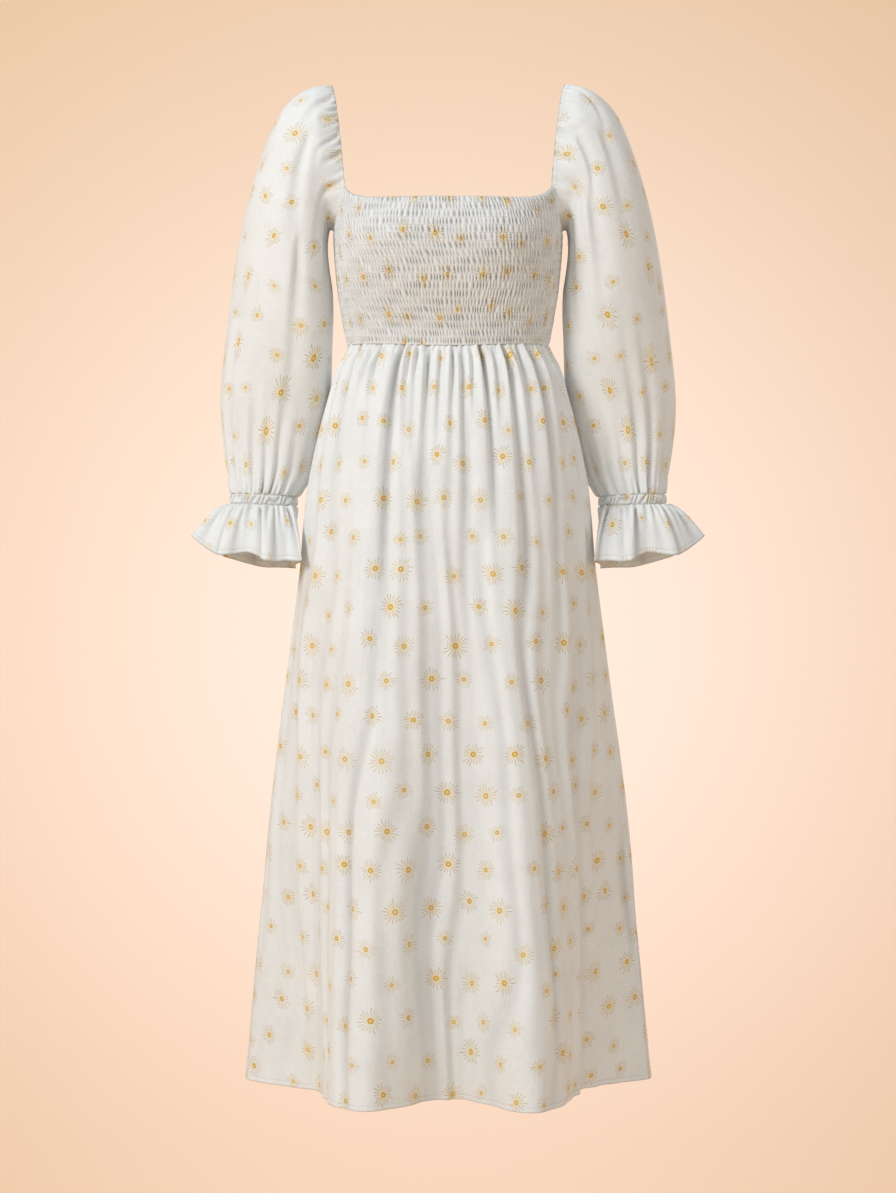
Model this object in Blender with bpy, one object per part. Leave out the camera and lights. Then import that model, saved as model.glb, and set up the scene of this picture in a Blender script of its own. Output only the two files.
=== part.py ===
"""A smocked midi dress in its worn, hollow form, as solid cloth walls.

Run with: blender --background --python part.py
Units are metres and +Z is up. The front of the dress faces -Y, and the viewer's right is +X.
The origin lies midway between the two shoulder tops, where the wearer carries the dress.

Angles round the body are measured from the front centre: 0 is the front, 90 degrees the
wearer's left side, 180 the back. Turns round a sleeve run from 0 at its outer edge through
0.25 at its front and 0.5 at its underarm to 0.75 at its back.
"""

import math
from bisect import bisect_right
from collections import namedtuple

import bmesh
import bpy
from mathutils import Vector

MM = 0.001

# The cloth walls and the seams between them
WALL = 1.8 * MM
SEAM_GAP = 0.3 * MM
HALF_GAP = SEAM_GAP / 2
ARMHOLE_GAP = 0.45 * MM

# Heights of the seams and edges, below the shoulder tops
FRONT_NECK_Z = -152 * MM
FRONT_CORNER_Z = -130 * MM
BACK_NECK_Z = -134 * MM
BACK_CORNER_Z = -127 * MM
UNDERARM_Z = -180 * MM
WAIST_SIDE_Z = -319 * MM
WAIST_CENTRE_Z = -326 * MM
HEM_Z = -1211 * MM

# The armholes: where each square neckline corner stands, as an angle from the centre line
FRONT_CORNER = math.radians(68)
BACK_CORNER = math.radians(70)
CORNER_CURVE = 6
ARMHOLE_HEART_RISE = 30 * MM
SHOULDER_TOP_X = 142.5 * MM
NECK_EDGE_BEND = 0.6
NECK_EDGE_LEAN = 0.25

# Smocking: rows of shirring elastic and the puckers that they draw up
SHIRRED_ROWS = 19
ROW_STITCH_RELIEF = 0.3 * MM
PUCKER_RIDGE = 2.7 * MM
PUCKER_VALLEY = 0.9 * MM
NECK_COLUMNS = 36
PLAIN_INSIDE_ROWS = 6

# Skirt gathers and folds
SKIRT_COLUMNS = 40
GATHER_HEIGHT = 2.6 * MM
GATHER_VALLEY = -0.9 * MM
GATHER_FADE_LENGTH = 210 * MM
SKIRT_ROW_SHARES = (0, 0.02, 0.05, 0.095, 0.16, 0.25, 0.36, 0.49, 0.63, 0.77, 0.89, 1)
HEM_WAVE_START_Z = -400 * MM
HEM_WAVE_GROWTH = 1.25

# Sleeves, cuffs and ruffles
SLEEVE_COLUMNS = 26
ARMHOLE_STEPS = 4
SLEEVE_GATHER_HEIGHT = 2.4 * MM
SLEEVE_GATHER_VALLEY = -0.7 * MM
NECK_EDGE_GATHER_SHARE = 0.7
NECK_EDGE_GATHER_ROWS = (0.5, 3.0)
CUFF_GATHER_ROWS = (12.0, 14.5)
CUFF_GATHER_HEIGHT = 1.1 * MM
CUFF_HEIGHT = 12 * MM
CUFF_BULGE = 1.2 * MM
CUFF_ROW_SHARES = (0, 0.5, 1)
RUFFLE_COLUMNS = 38
RUFFLE_ROW_SHARES = (0, 0.25, 0.6, 1)

Section = namedtuple("Section", "z half_width front back front_shape back_shape")
BODY_SECTIONS = [
    Section(-0.100, 0.1290, 0.088, 0.084, 2.5, 3.2),
    Section(-0.130, 0.1345, 0.098, 0.085, 2.5, 3.2),
    Section(-0.160, 0.1362, 0.110, 0.086, 2.4, 3.0),
    Section(-0.195, 0.1365, 0.117, 0.086, 2.3, 2.7),
    Section(-0.249, 0.1320, 0.110, 0.083, 2.2, 2.4),
    Section(-0.286, 0.1262, 0.098, 0.081, 2.2, 2.3),
    Section(-0.322, 0.1220, 0.091, 0.082, 2.2, 2.2),
    Section(-0.350, 0.1354, 0.101, 0.093, 2.2, 2.2),
    Section(-0.411, 0.1540, 0.117, 0.109, 2.1, 2.1),
    Section(-0.488, 0.1710, 0.131, 0.124, 2.0, 2.0),
    Section(-0.584, 0.1800, 0.142, 0.134, 2.0, 2.0),
    Section(-0.676, 0.1915, 0.150, 0.142, 2.0, 2.0),
    Section(-0.871, 0.2150, 0.163, 0.155, 2.0, 2.0),
    Section(-1.006, 0.2295, 0.170, 0.162, 2.0, 2.0),
    Section(-1.136, 0.2415, 0.176, 0.168, 2.0, 2.0),
    Section(-1.211, 0.2480, 0.178, 0.170, 2.0, 2.0),
]

# How far the hem reaches from the centre line at each angle, which makes its broad folds
HemWave = namedtuple("HemWave", "angle reach")
HEM_WAVES = [
    HemWave(-98, 0.2495),
    HemWave(-90, 0.2455),
    HemWave(-84, 0.2290),
    HemWave(-69, 0.1760),
    HemWave(-54, 0.1810),
    HemWave(-39, 0.2080),
    HemWave(-27, 0.2160),
    HemWave(-20, 0.1890),
    HemWave(-13, 0.1460),
    HemWave(-4, 0.1270),
    HemWave(5, 0.1230),
    HemWave(11, 0.1320),
    HemWave(17, 0.1680),
    HemWave(24, 0.2180),
    HemWave(33, 0.2190),
    HemWave(44, 0.1990),
    HemWave(55, 0.1820),
    HemWave(70, 0.1750),
    HemWave(83, 0.2070),
    HemWave(90, 0.2455),
    HemWave(98, 0.2495),
    HemWave(108, 0.2340),
    HemWave(120, 0.1980),
    HemWave(134, 0.1900),
    HemWave(148, 0.2060),
    HemWave(162, 0.1860),
    HemWave(176, 0.1600),
    HemWave(190, 0.1650),
    HemWave(204, 0.1990),
    HemWave(217, 0.2040),
    HemWave(231, 0.1860),
    HemWave(244, 0.1980),
    HemWave(254, 0.2360),
    HemWave(262, 0.2495),
    HemWave(270, 0.2455),
    HemWave(276, 0.2290),
]

# The bust fullness that the front panel is shaped to
BUST_ANGLE = math.radians(31)
BUST_SPREAD = math.radians(20)
BUST_Z = -200 * MM
BUST_HEIGHT = 42 * MM
BUST_FULLNESS = 7 * MM

# Sections of the sleeve, cuff and ruffle head: outer and inner edge as the front view shows
# them, half depth from front to back, and how far the middle lies behind the shoulder line
Arm = namedtuple("Arm", "outer_x outer_z inner_x inner_z half_depth middle_y")
ARM_SECTIONS = [
    Arm(0.1425, 0.0000, 0.1360, -0.1800, 0.056, 0.000),
    Arm(0.1620, -0.0025, 0.1445, -0.1765, 0.059, 0.000),
    Arm(0.1840, -0.0130, 0.1475, -0.1950, 0.061, 0.001),
    Arm(0.2040, -0.0330, 0.1455, -0.2220, 0.063, 0.003),
    Arm(0.2200, -0.0620, 0.1425, -0.2500, 0.064, 0.005),
    Arm(0.2335, -0.0980, 0.1415, -0.2780, 0.065, 0.008),
    Arm(0.2450, -0.1400, 0.1415, -0.3050, 0.066, 0.012),
    Arm(0.2545, -0.1850, 0.1415, -0.3310, 0.067, 0.018),
    Arm(0.2630, -0.2320, 0.1425, -0.3570, 0.067, 0.025),
    Arm(0.2705, -0.2800, 0.1450, -0.3830, 0.067, 0.033),
    Arm(0.2770, -0.3280, 0.1500, -0.4080, 0.066, 0.041),
    Arm(0.2805, -0.3720, 0.1560, -0.4320, 0.064, 0.047),
    Arm(0.2800, -0.4120, 0.1625, -0.4550, 0.060, 0.049),
    Arm(0.2760, -0.4480, 0.1690, -0.4760, 0.053, 0.045),
    Arm(0.2700, -0.4790, 0.1795, -0.4920, 0.044, 0.036),
    Arm(0.2670, -0.4970, 0.1870, -0.5000, 0.038, 0.030),
]
CUFF_TOP = len(ARM_SECTIONS) - 1
CORNER_TURN = (SLEEVE_COLUMNS / 2 - ARMHOLE_STEPS) / SLEEVE_COLUMNS

# The ruffle's edge: where each wave's crest or trough lies from the cuff's middle, and its height
Ruffle = namedtuple("Ruffle", "turn out_x out_y z")
RUFFLE_EDGE = [
    Ruffle(0.000, 0.088, -0.012, -0.5480),
    Ruffle(0.070, 0.064, -0.048, -0.5660),
    Ruffle(0.140, 0.046, -0.072, -0.5730),
    Ruffle(0.210, 0.014, -0.064, -0.5700),
    Ruffle(0.280, -0.008, -0.088, -0.5800),
    Ruffle(0.350, -0.034, -0.070, -0.5800),
    Ruffle(0.420, -0.052, -0.080, -0.5810),
    Ruffle(0.480, -0.042, -0.044, -0.5850),
    Ruffle(0.540, -0.036, -0.010, -0.5880),
    Ruffle(0.610, -0.038, 0.028, -0.5880),
    Ruffle(0.680, -0.018, 0.034, -0.5870),
    Ruffle(0.750, 0.006, 0.056, -0.5860),
    Ruffle(0.820, 0.030, 0.040, -0.5800),
    Ruffle(0.890, 0.058, 0.044, -0.5700),
    Ruffle(0.945, 0.066, 0.016, -0.5580),
]
RUFFLE_BELL = 0.75

# Small steps that the outward directions are measured over
ANGLE_STEP = math.radians(0.5)
HEIGHT_STEP = 1 * MM
TURN_STEP = 0.01

CLOTH_COLOUR = (0.86, 0.85, 0.82, 1.0)


def clear_scene():
    for thing in list(bpy.data.objects):
        bpy.data.objects.remove(thing)


def smooth_curve(knots, values):
    """A function that gives the smooth curve through the values at the rising knots."""
    last = len(knots) - 1
    slopes = [
        (values[min(i + 1, last)] - values[max(i - 1, 0)])
        / (knots[min(i + 1, last)] - knots[max(i - 1, 0)])
        for i in range(last + 1)
    ]

    def value(at):
        at = min(max(at, knots[0]), knots[last])
        left = min(bisect_right(knots, at) - 1, last - 1)
        span = knots[left + 1] - knots[left]
        share = (at - knots[left]) / span
        rise = values[left + 1] - values[left]
        start, end = slopes[left] * span, slopes[left + 1] * span
        bend = 3 * rise - 2 * start - end + share * (start + end - 2 * rise)
        return values[left] + share * (start + share * bend)

    return value


def table_curves(rows, knots):
    """Each column of a table as a smooth curve, in the order of the columns."""
    return [smooth_curve(knots, column) for column in zip(*rows)]


def smoothstep(share):
    share = min(max(share, 0.0), 1.0)
    return share * share * (3 - 2 * share)


def body_ring(z):
    """The body section at a height, each column read from the table."""
    return Section(*(curve(z) for curve in BODY_CURVES))


def section_radius(ring, angle):
    """How far a rounded section reaches from the centre line at an angle."""
    sine, cosine = math.sin(angle), math.cos(angle)
    depth, shape = (ring.front, ring.front_shape) if cosine > 0 else (ring.back, ring.back_shape)
    total = abs(sine / ring.half_width) ** shape + abs(cosine / depth) ** shape
    return total ** (-1 / shape)


def hem_wave(angle):
    """The hem's reach over the plain hem section's, at an angle."""
    degrees = (math.degrees(angle) + 90) % 360 - 90
    return HEM_REACH(degrees) / section_radius(body_ring(HEM_Z), angle)


def bust_relief(angle, z):
    height = math.exp(-(((z - BUST_Z) / BUST_HEIGHT) ** 2))
    sides = (math.exp(-(((angle - side) / BUST_SPREAD) ** 2)) for side in (-BUST_ANGLE, BUST_ANGLE))
    return BUST_FULLNESS * height * sum(sides)


def body_point(angle, z):
    """A point of the smooth body form, with the skirt's broad folds and no gathers."""
    radius = section_radius(body_ring(z), angle) + bust_relief(angle, z)
    below = max(HEM_WAVE_START_Z - z, 0) / (HEM_WAVE_START_Z - HEM_Z)
    radius *= 1 + below**HEM_WAVE_GROWTH * (hem_wave(angle) - 1)
    return Vector((radius * math.sin(angle), -radius * math.cos(angle), z))


def body_normal(angle, z):
    """The outward direction of the body form."""
    across = body_point(angle + ANGLE_STEP, z) - body_point(angle - ANGLE_STEP, z)
    up = body_point(angle, z + HEIGHT_STEP) - body_point(angle, z - HEIGHT_STEP)
    return across.cross(up).normalized()


def waist_z(angle):
    """The waist seam dips a little at the centre front and back."""
    middle, swing = (WAIST_CENTRE_Z + WAIST_SIDE_Z) / 2, (WAIST_CENTRE_Z - WAIST_SIDE_Z) / 2
    return middle + swing * math.cos(2 * angle)


def from_centre(angle, front):
    """The angle from the panel's own centre line, with no sign."""
    return abs(angle) if front else abs(angle - math.pi)


def panel_top_z(angle, front):
    """The neckline and, past its corner, the armhole down to the underarm."""
    corner, corner_z, neck_z = (
        (FRONT_CORNER, FRONT_CORNER_Z, FRONT_NECK_Z)
        if front
        else (BACK_CORNER, BACK_CORNER_Z, BACK_NECK_Z)
    )
    away = from_centre(angle, front)
    if away <= corner + 1e-9:
        return neck_z + (corner_z - neck_z) * (away / corner) ** CORNER_CURVE
    inside = min((math.pi / 2 - away) / (math.pi / 2 - corner), 1.0)
    inside = max(inside, 0.0)
    return UNDERARM_Z + (corner_z - UNDERARM_Z) * (1 - math.sqrt(1 - inside * inside))


def armhole_angles(corner):
    """Angles from the side seam to the neckline corner, shared with the sleeve's own columns."""
    shares = (step / ARMHOLE_STEPS for step in range(ARMHOLE_STEPS + 1))
    return [math.pi / 2 - (math.pi / 2 - corner) * math.sin(share * math.pi / 2) for share in shares]


def bodice_angles(front):
    """Column angles of a bodice panel from one side seam to the other."""
    corner = FRONT_CORNER if front else BACK_CORNER
    side = armhole_angles(corner)
    middle = [
        -corner + 2 * corner * column / NECK_COLUMNS
        for column in range(1, NECK_COLUMNS)
    ]
    offsets = [-angle for angle in side] + middle + side[::-1]
    return [offset if front else math.pi + offset for offset in offsets]


def off_the_seam(angle, z, front):
    """Holds the panel's outermost columns half a seam gap off the side seam."""
    slack = HALF_GAP / body_ring(z).half_width
    limit = math.pi / 2 - slack
    centre = 0 if front else math.pi
    return centre + min(max(angle - centre, -limit), limit)


def bodice_panel(name, front, material):
    """A smocked panel: puckers raised between the shirring rows, over a plain inside."""
    angles = bodice_angles(front)

    def place(angle, share, relief):
        bottom = waist_z(angle)
        z = bottom + share * (panel_top_z(angle, front) - bottom)
        turned = off_the_seam(angle, z, front)
        return body_point(turned, z) + relief * body_normal(turned, z)

    outside = []
    for row in range(2 * SHIRRED_ROWS + 1):
        between = row % 2 == 1
        points = []
        for column, angle in enumerate(angles):
            raised = (column + row // 2) % 2 == 0
            relief = (PUCKER_RIDGE if raised else PUCKER_VALLEY) if between else ROW_STITCH_RELIEF
            edge = column in (0, len(angles) - 1) or row in (0, 2 * SHIRRED_ROWS)
            points.append(place(angle, row / (2 * SHIRRED_ROWS), 0.0 if edge else relief))
        outside.append(points)
    inside = [
        [place(angle, row / (PLAIN_INSIDE_ROWS - 1), -WALL) for angle in angles]
        for row in range(PLAIN_INSIDE_ROWS)
    ]
    return cloth_wall(name, outside, inside, material, closed_ring=False)


def skirt_gather(column, edge, below_waist):
    """Gathers stand up at the waist seam and soften down the skirt."""
    if edge:
        return 0.0
    fade = 1 - smoothstep(below_waist / GATHER_FADE_LENGTH)
    return fade * (GATHER_HEIGHT if column % 2 else GATHER_VALLEY)


def skirt_panel(name, front, material):
    """A gathered A-line skirt panel from the waist seam to the hem."""
    centre = 0 if front else math.pi
    outside, inside = [], []
    for share in SKIRT_ROW_SHARES:
        outer_row, inner_row = [], []
        for column in range(SKIRT_COLUMNS + 1):
            angle = centre + math.pi * (column / SKIRT_COLUMNS - 0.5)
            top = waist_z(angle) - SEAM_GAP
            z = top + share * (HEM_Z - top)
            turned = off_the_seam(angle, z, front)
            out = body_normal(turned, z)
            edge = column in (0, SKIRT_COLUMNS)
            relief = skirt_gather(column, edge, top - z)
            outer_row.append(body_point(turned, z) + relief * out)
            inner_row.append(body_point(turned, z) + (relief - WALL) * out)
        outside.append(outer_row)
        inside.append(inner_row)
    return cloth_wall(name, outside, inside, material, closed_ring=False)


def arm_section(place):
    """The sleeve's section at a place between the table's rows."""
    return Arm(*(curve(place) for curve in ARM_CURVES))


def arm_point(place, turn):
    """A point of the smooth sleeve form on the +X side."""
    row = arm_section(place)
    outer = Vector((row.outer_x, row.middle_y, row.outer_z))
    inner = Vector((row.inner_x, row.middle_y, row.inner_z))
    around = 2 * math.pi * turn
    middle, reach = (outer + inner) / 2, (outer - inner) / 2
    return middle + math.cos(around) * reach - Vector((0, row.half_depth * math.sin(around), 0))


def arm_normal(place, turn):
    lower, upper = min(place + TURN_STEP, CUFF_TOP), max(place - TURN_STEP, 0)
    along = arm_point(lower, turn) - arm_point(upper, turn)
    around = arm_point(place, turn + TURN_STEP) - arm_point(place, turn - TURN_STEP)
    return along.cross(around).normalized()


def armhole_ring(turn):
    """(point, outward direction) where the sleeve meets the bodice or runs free over the shoulder."""
    front = turn <= 0.5
    corner = FRONT_CORNER if front else BACK_CORNER
    corner_z = FRONT_CORNER_Z if front else BACK_CORNER_Z
    from_top = turn if front else 1 - turn
    sign = -1 if front else 1

    def on_body(share):
        angle = math.pi / 2 + sign * (math.pi / 2 - corner) * math.sin(share * math.pi / 2)
        z = UNDERARM_Z + (corner_z - UNDERARM_Z) * (1 - math.cos(share * math.pi / 2))
        return body_point(angle, z), body_normal(angle, z)

    if from_top >= CORNER_TURN - 1e-9:
        point, out = on_body((0.5 - from_top) / (0.5 - CORNER_TURN))
        heart = Vector((point.x, 0, (UNDERARM_Z + corner_z) / 2 + ARMHOLE_HEART_RISE))
        return point + ARMHOLE_GAP * (heart - point).normalized(), out
    end, out = on_body(1)
    end += ARMHOLE_GAP * Vector((0, -sign, 1)).normalized()
    swing = from_top / CORNER_TURN * math.pi / 2
    z = end.z * (1 - math.cos(swing))
    x = SHOULDER_TOP_X + (end.x - SHOULDER_TOP_X) * abs(z / end.z) ** NECK_EDGE_BEND
    point = Vector((x, end.y * math.sin(swing), z))
    over = Vector((NECK_EDGE_LEAN, math.sin(swing) * sign, math.cos(swing))).normalized()
    blend = smoothstep(from_top / CORNER_TURN)
    return point, (over * (1 - blend) + out * blend).normalized()


def between(place, rows):
    """How far a place has gone from the first row to the second, softened at both ends."""
    return smoothstep((place - rows[0]) / (rows[1] - rows[0]))


def sleeve_gather(column, place):
    """Gathers at the neck edge over the shoulder, and above the elastic cuff."""
    turn = column / SLEEVE_COLUMNS
    height = SLEEVE_GATHER_HEIGHT if column % 2 else SLEEVE_GATHER_VALLEY
    over_shoulder = NECK_EDGE_GATHER_SHARE if min(turn, 1 - turn) < CORNER_TURN else 0
    at_neck = over_shoulder * (1 - between(place, NECK_EDGE_GATHER_ROWS))
    return height * (at_neck + between(place, CUFF_GATHER_ROWS))


def mirrored(grid):
    """The mirror image of a grid, for the wearer's right side at -X."""
    return [[Vector((-point.x, point.y, point.z)) for point in row] for row in grid]


def tube_wall(name, outside, inside, to_right, material):
    """A wall that runs all round, on the wearer's left side or mirrored to the right."""
    if to_right:
        outside, inside = mirrored(outside), mirrored(inside)
    return cloth_wall(name, outside, inside, material, closed_ring=True)


def sleeve(name, to_right, material):
    """A full sleeve, from the armhole and the free neck edge down to the cuff."""
    turns = [column / SLEEVE_COLUMNS for column in range(SLEEVE_COLUMNS)]
    first = [armhole_ring(turn) for turn in turns]
    outside = [[point for point, out in first]]
    inside = [[point - WALL * out for point, out in first]]
    for place in range(1, CUFF_TOP + 1):
        outer_row, inner_row = [], []
        for column, turn in enumerate(turns):
            out = arm_normal(place, turn)
            relief = sleeve_gather(column, place)
            outer_row.append(arm_point(place, turn) + relief * out)
            inner_row.append(arm_point(place, turn) + (relief - WALL) * out)
        outside.append(outer_row)
        inside.append(inner_row)
    return tube_wall(name, outside, inside, to_right, material)


def cuff_centre():
    row = ARM_SECTIONS[CUFF_TOP]
    return Vector(((row.outer_x + row.inner_x) / 2, row.middle_y, (row.outer_z + row.inner_z) / 2))


def cuff_point(turn, below, relief):
    """A point of the elastic casing, a height below its top edge."""
    point = arm_point(CUFF_TOP, turn)
    out = point - cuff_centre()
    out.z = 0
    return point + relief * out.normalized() - Vector((0, 0, SEAM_GAP + below))


def cuff(name, to_right, material):
    """The elasticated casing that draws in the sleeve above the ruffle."""
    outside, inside = [], []
    for share in CUFF_ROW_SHARES:
        bulge = CUFF_BULGE * math.sin(share * math.pi)
        outer_row, inner_row = [], []
        for column in range(SLEEVE_COLUMNS):
            relief = bulge + CUFF_GATHER_HEIGHT * (1 if column % 2 else -1)
            turn = column / SLEEVE_COLUMNS
            outer_row.append(cuff_point(turn, share * CUFF_HEIGHT, relief))
            inner_row.append(cuff_point(turn, share * CUFF_HEIGHT, relief - bulge - WALL))
        outside.append(outer_row)
        inside.append(inner_row)
    return tube_wall(name, outside, inside, to_right, material)


def ruffle_edge(turn):
    """A point of the ruffle's free edge."""
    _, out_x, out_y, z = (curve(turn) for curve in RUFFLE_CURVES)
    centre = cuff_centre()
    return Vector((centre.x + out_x, centre.y + out_y, z))


def ruffle_point(share, turn):
    """A point of the ruffle: bell shaped, out of the cuff first and then down."""
    start = cuff_point(turn, CUFF_HEIGHT + SEAM_GAP, 0.0)
    end = ruffle_edge(turn)
    out = share**RUFFLE_BELL
    down = share ** (1 / RUFFLE_BELL)
    return Vector(
        (
            start.x + (end.x - start.x) * out,
            start.y + (end.y - start.y) * out,
            start.z + (end.z - start.z) * down,
        )
    )


def ruffle_normal(form, row, column):
    """The outward direction at a corner of the ruffle's grid, from the corners beside it."""
    around = form[row][(column + 1) % RUFFLE_COLUMNS] - form[row][column - 1]
    down = form[min(row + 1, len(form) - 1)][column] - form[max(row - 1, 0)][column]
    out = down.cross(around)
    if row == 0:
        out.z = 0
    return out.normalized()


def ruffle(name, to_right, material):
    """The flounce below the cuff, with its free waving edge."""
    turns = [column / RUFFLE_COLUMNS for column in range(RUFFLE_COLUMNS)]
    form = [[ruffle_point(share, turn) for turn in turns] for share in RUFFLE_ROW_SHARES]
    outside, inside = [], []
    for row, share in enumerate(RUFFLE_ROW_SHARES):
        outer_row, inner_row = [], []
        for column, point in enumerate(form[row]):
            out = ruffle_normal(form, row, column)
            gather = CUFF_GATHER_HEIGHT * (1 - share) * (1 if column % 2 else -1)
            outer_row.append(point + gather * out)
            inner_row.append(point + (gather - WALL) * out)
        outside.append(outer_row)
        inside.append(inner_row)
    return tube_wall(name, outside, inside, to_right, material)


def cloth_wall(name, outside, inside, material, closed_ring):
    """A closed wall lofted between an outside and an inside grid, whose rows are equally long."""
    form = bmesh.new()
    outer = [[form.verts.new(point) for point in row] for row in outside]
    inner = [[form.verts.new(point) for point in row] for row in inside]
    count = len(outer[0])
    steps = [(i, (i + 1) % count) for i in range(count if closed_ring else count - 1)]

    def skin(grid):
        for below, above in zip(grid, grid[1:]):
            for a, b in steps:
                form.faces.new((below[a], below[b], above[b], above[a]))

    skin(inner)
    skin(outer)
    for end in (0, -1):
        for a, b in steps:
            form.faces.new((outer[end][a], outer[end][b], inner[end][b], inner[end][a]))
    if not closed_ring:
        for end in (0, -1):
            join_runs(form, [row[end] for row in outer], [row[end] for row in inner])
    bmesh.ops.recalc_face_normals(form, faces=form.faces)
    if form.calc_volume(signed=True) < 0:
        bmesh.ops.reverse_faces(form, faces=form.faces)
    mesh = bpy.data.meshes.new(name)
    form.to_mesh(mesh)
    form.free()
    mesh.materials.append(material)
    piece = bpy.data.objects.new(name, mesh)
    DRESS.objects.link(piece)
    return piece


def join_runs(form, first, second):
    """Triangles between two runs of corners that differ in number."""
    i = j = 0
    first_steps, second_steps = len(first) - 1, len(second) - 1
    while i < first_steps or j < second_steps:
        if j == second_steps or (i < first_steps and (i + 1) * second_steps <= (j + 1) * first_steps):
            form.faces.new((first[i], first[i + 1], second[j]))
            i += 1
        else:
            form.faces.new((first[i], second[j + 1], second[j]))
            j += 1


def cloth_material(name, roughness):
    material = bpy.data.materials.new(name)
    material.use_nodes = True
    shader = material.node_tree.nodes["Principled BSDF"]
    shader.inputs["Base Color"].default_value = CLOTH_COLOUR
    shader.inputs["Roughness"].default_value = roughness
    shader.inputs["Metallic"].default_value = 0.0
    return material


def one_more_turn(rows):
    """A closed table with a row before its start and two past its end, so that its curve closes."""
    before = rows[-1]._replace(turn=rows[-1].turn - 1)
    after = [row._replace(turn=row.turn + 1) for row in rows[:2]]
    return [before] + rows + after


BODY_CURVES = table_curves(BODY_SECTIONS[::-1], [row.z for row in BODY_SECTIONS[::-1]])
ARM_CURVES = table_curves(ARM_SECTIONS, range(len(ARM_SECTIONS)))
HEM_REACH = smooth_curve([row.angle for row in HEM_WAVES], [row.reach for row in HEM_WAVES])
RUFFLE_ROWS = one_more_turn(RUFFLE_EDGE)
RUFFLE_CURVES = table_curves(RUFFLE_ROWS, [row.turn for row in RUFFLE_ROWS])

clear_scene()
DRESS = bpy.data.collections.new("smocked_midi_dress")
bpy.context.scene.collection.children.link(DRESS)
SHIRRED_COTTON = cloth_material("shirred_cotton", 0.85)
PRINTED_COTTON = cloth_material("printed_cotton", 0.82)

for side, is_front in (("front", True), ("back", False)):
    bodice_panel(f"bodice_{side}", is_front, SHIRRED_COTTON)
    skirt_panel(f"skirt_{side}", is_front, PRINTED_COTTON)

for side, is_right in (("right", True), ("left", False)):
    sleeve(f"sleeve_{side}", is_right, PRINTED_COTTON)
    cuff(f"cuff_{side}", is_right, SHIRRED_COTTON)
    ruffle(f"ruffle_{side}", is_right, PRINTED_COTTON)
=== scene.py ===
import math
from collections import namedtuple

import bpy
import numpy as np
from bpy.props import FloatProperty, FloatVectorProperty, IntProperty, PointerProperty
from bpy.types import Operator, Panel, PropertyGroup
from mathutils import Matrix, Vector


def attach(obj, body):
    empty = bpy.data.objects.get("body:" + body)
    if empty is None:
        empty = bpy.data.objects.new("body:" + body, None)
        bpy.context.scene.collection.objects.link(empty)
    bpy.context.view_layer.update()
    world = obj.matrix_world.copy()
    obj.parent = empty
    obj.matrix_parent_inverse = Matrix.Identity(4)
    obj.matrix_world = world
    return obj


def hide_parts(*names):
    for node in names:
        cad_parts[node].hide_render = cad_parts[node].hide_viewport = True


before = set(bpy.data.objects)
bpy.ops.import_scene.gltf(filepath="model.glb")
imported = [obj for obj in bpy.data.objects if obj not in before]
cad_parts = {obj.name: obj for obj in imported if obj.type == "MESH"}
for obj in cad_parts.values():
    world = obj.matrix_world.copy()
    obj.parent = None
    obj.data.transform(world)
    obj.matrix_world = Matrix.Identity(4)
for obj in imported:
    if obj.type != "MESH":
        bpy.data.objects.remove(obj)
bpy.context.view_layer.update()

bl_info = {
    "name": "Smocked midi dress",
    "version": (1, 0, 0),
    "blender": (4, 5, 0),
    "location": "View3D > Sidebar > Dress",
    "description": "Daisy-print midi dress with a smocked bodice, full sleeves and a gathered skirt",
    "category": "Object",
}

MM = 0.001

# Heights of the seams and edges below the shoulder tops, as on the solids
FRONT_NECK_Z = -152 * MM
FRONT_CORNER_Z = -130 * MM
BACK_NECK_Z = -134 * MM
BACK_CORNER_Z = -127 * MM
UNDERARM_Z = -180 * MM
WAIST_SIDE_Z = -319 * MM
WAIST_CENTRE_Z = -326 * MM
HEM_Z = -1211 * MM

# Seams: the gap between two panels, how far the skirt reaches up behind the bodice's edge, and
# the sleeve's gap inside the armhole
SEAM_GAP = 0.3 * MM
SKIRT_TUCK = 3 * MM
ARMHOLE_GAP = 0.45 * MM

# Armholes: the angle of each neckline corner from the panel's centre line, and how sharply the
# neckline rises to it
FRONT_CORNER = math.radians(68)
BACK_CORNER = math.radians(70)
CORNER_CURVE = 6

# The sleeve's free edge over the shoulder: its top, its bend, and the turns from there to a corner
SHOULDER_TOP_X = 142.5 * MM
NECK_EDGE_BEND = 0.6
CORNER_TURN = 9 / 26

# The body's form from the neck down: each section reaches so far to the side, front and back,
# and its shape says how square it is, 2 for an ellipse
Section = namedtuple("Section", "z half_width front back front_shape back_shape")
BODY_SECTIONS = [Section(*row) for row in (
    (-0.100, 0.1290, 0.088, 0.084, 2.5, 3.2),
    (-0.130, 0.1345, 0.098, 0.085, 2.5, 3.2),
    (-0.160, 0.1362, 0.110, 0.086, 2.4, 3.0),
    (-0.195, 0.1365, 0.117, 0.086, 2.3, 2.7),
    (-0.249, 0.1320, 0.110, 0.083, 2.2, 2.4),
    (-0.286, 0.1262, 0.098, 0.081, 2.2, 2.3),
    (-0.322, 0.1220, 0.091, 0.082, 2.2, 2.2),
    (-0.350, 0.1354, 0.101, 0.093, 2.2, 2.2),
    (-0.411, 0.1540, 0.117, 0.109, 2.1, 2.1),
    (-0.488, 0.1710, 0.131, 0.124, 2.0, 2.0),
    (-0.584, 0.1800, 0.142, 0.134, 2.0, 2.0),
    (-0.676, 0.1915, 0.150, 0.142, 2.0, 2.0),
    (-0.871, 0.2150, 0.163, 0.155, 2.0, 2.0),
    (-1.006, 0.2295, 0.170, 0.162, 2.0, 2.0),
    (-1.136, 0.2415, 0.176, 0.168, 2.0, 2.0),
    (-1.211, 0.2480, 0.178, 0.170, 2.0, 2.0),
)]
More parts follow.
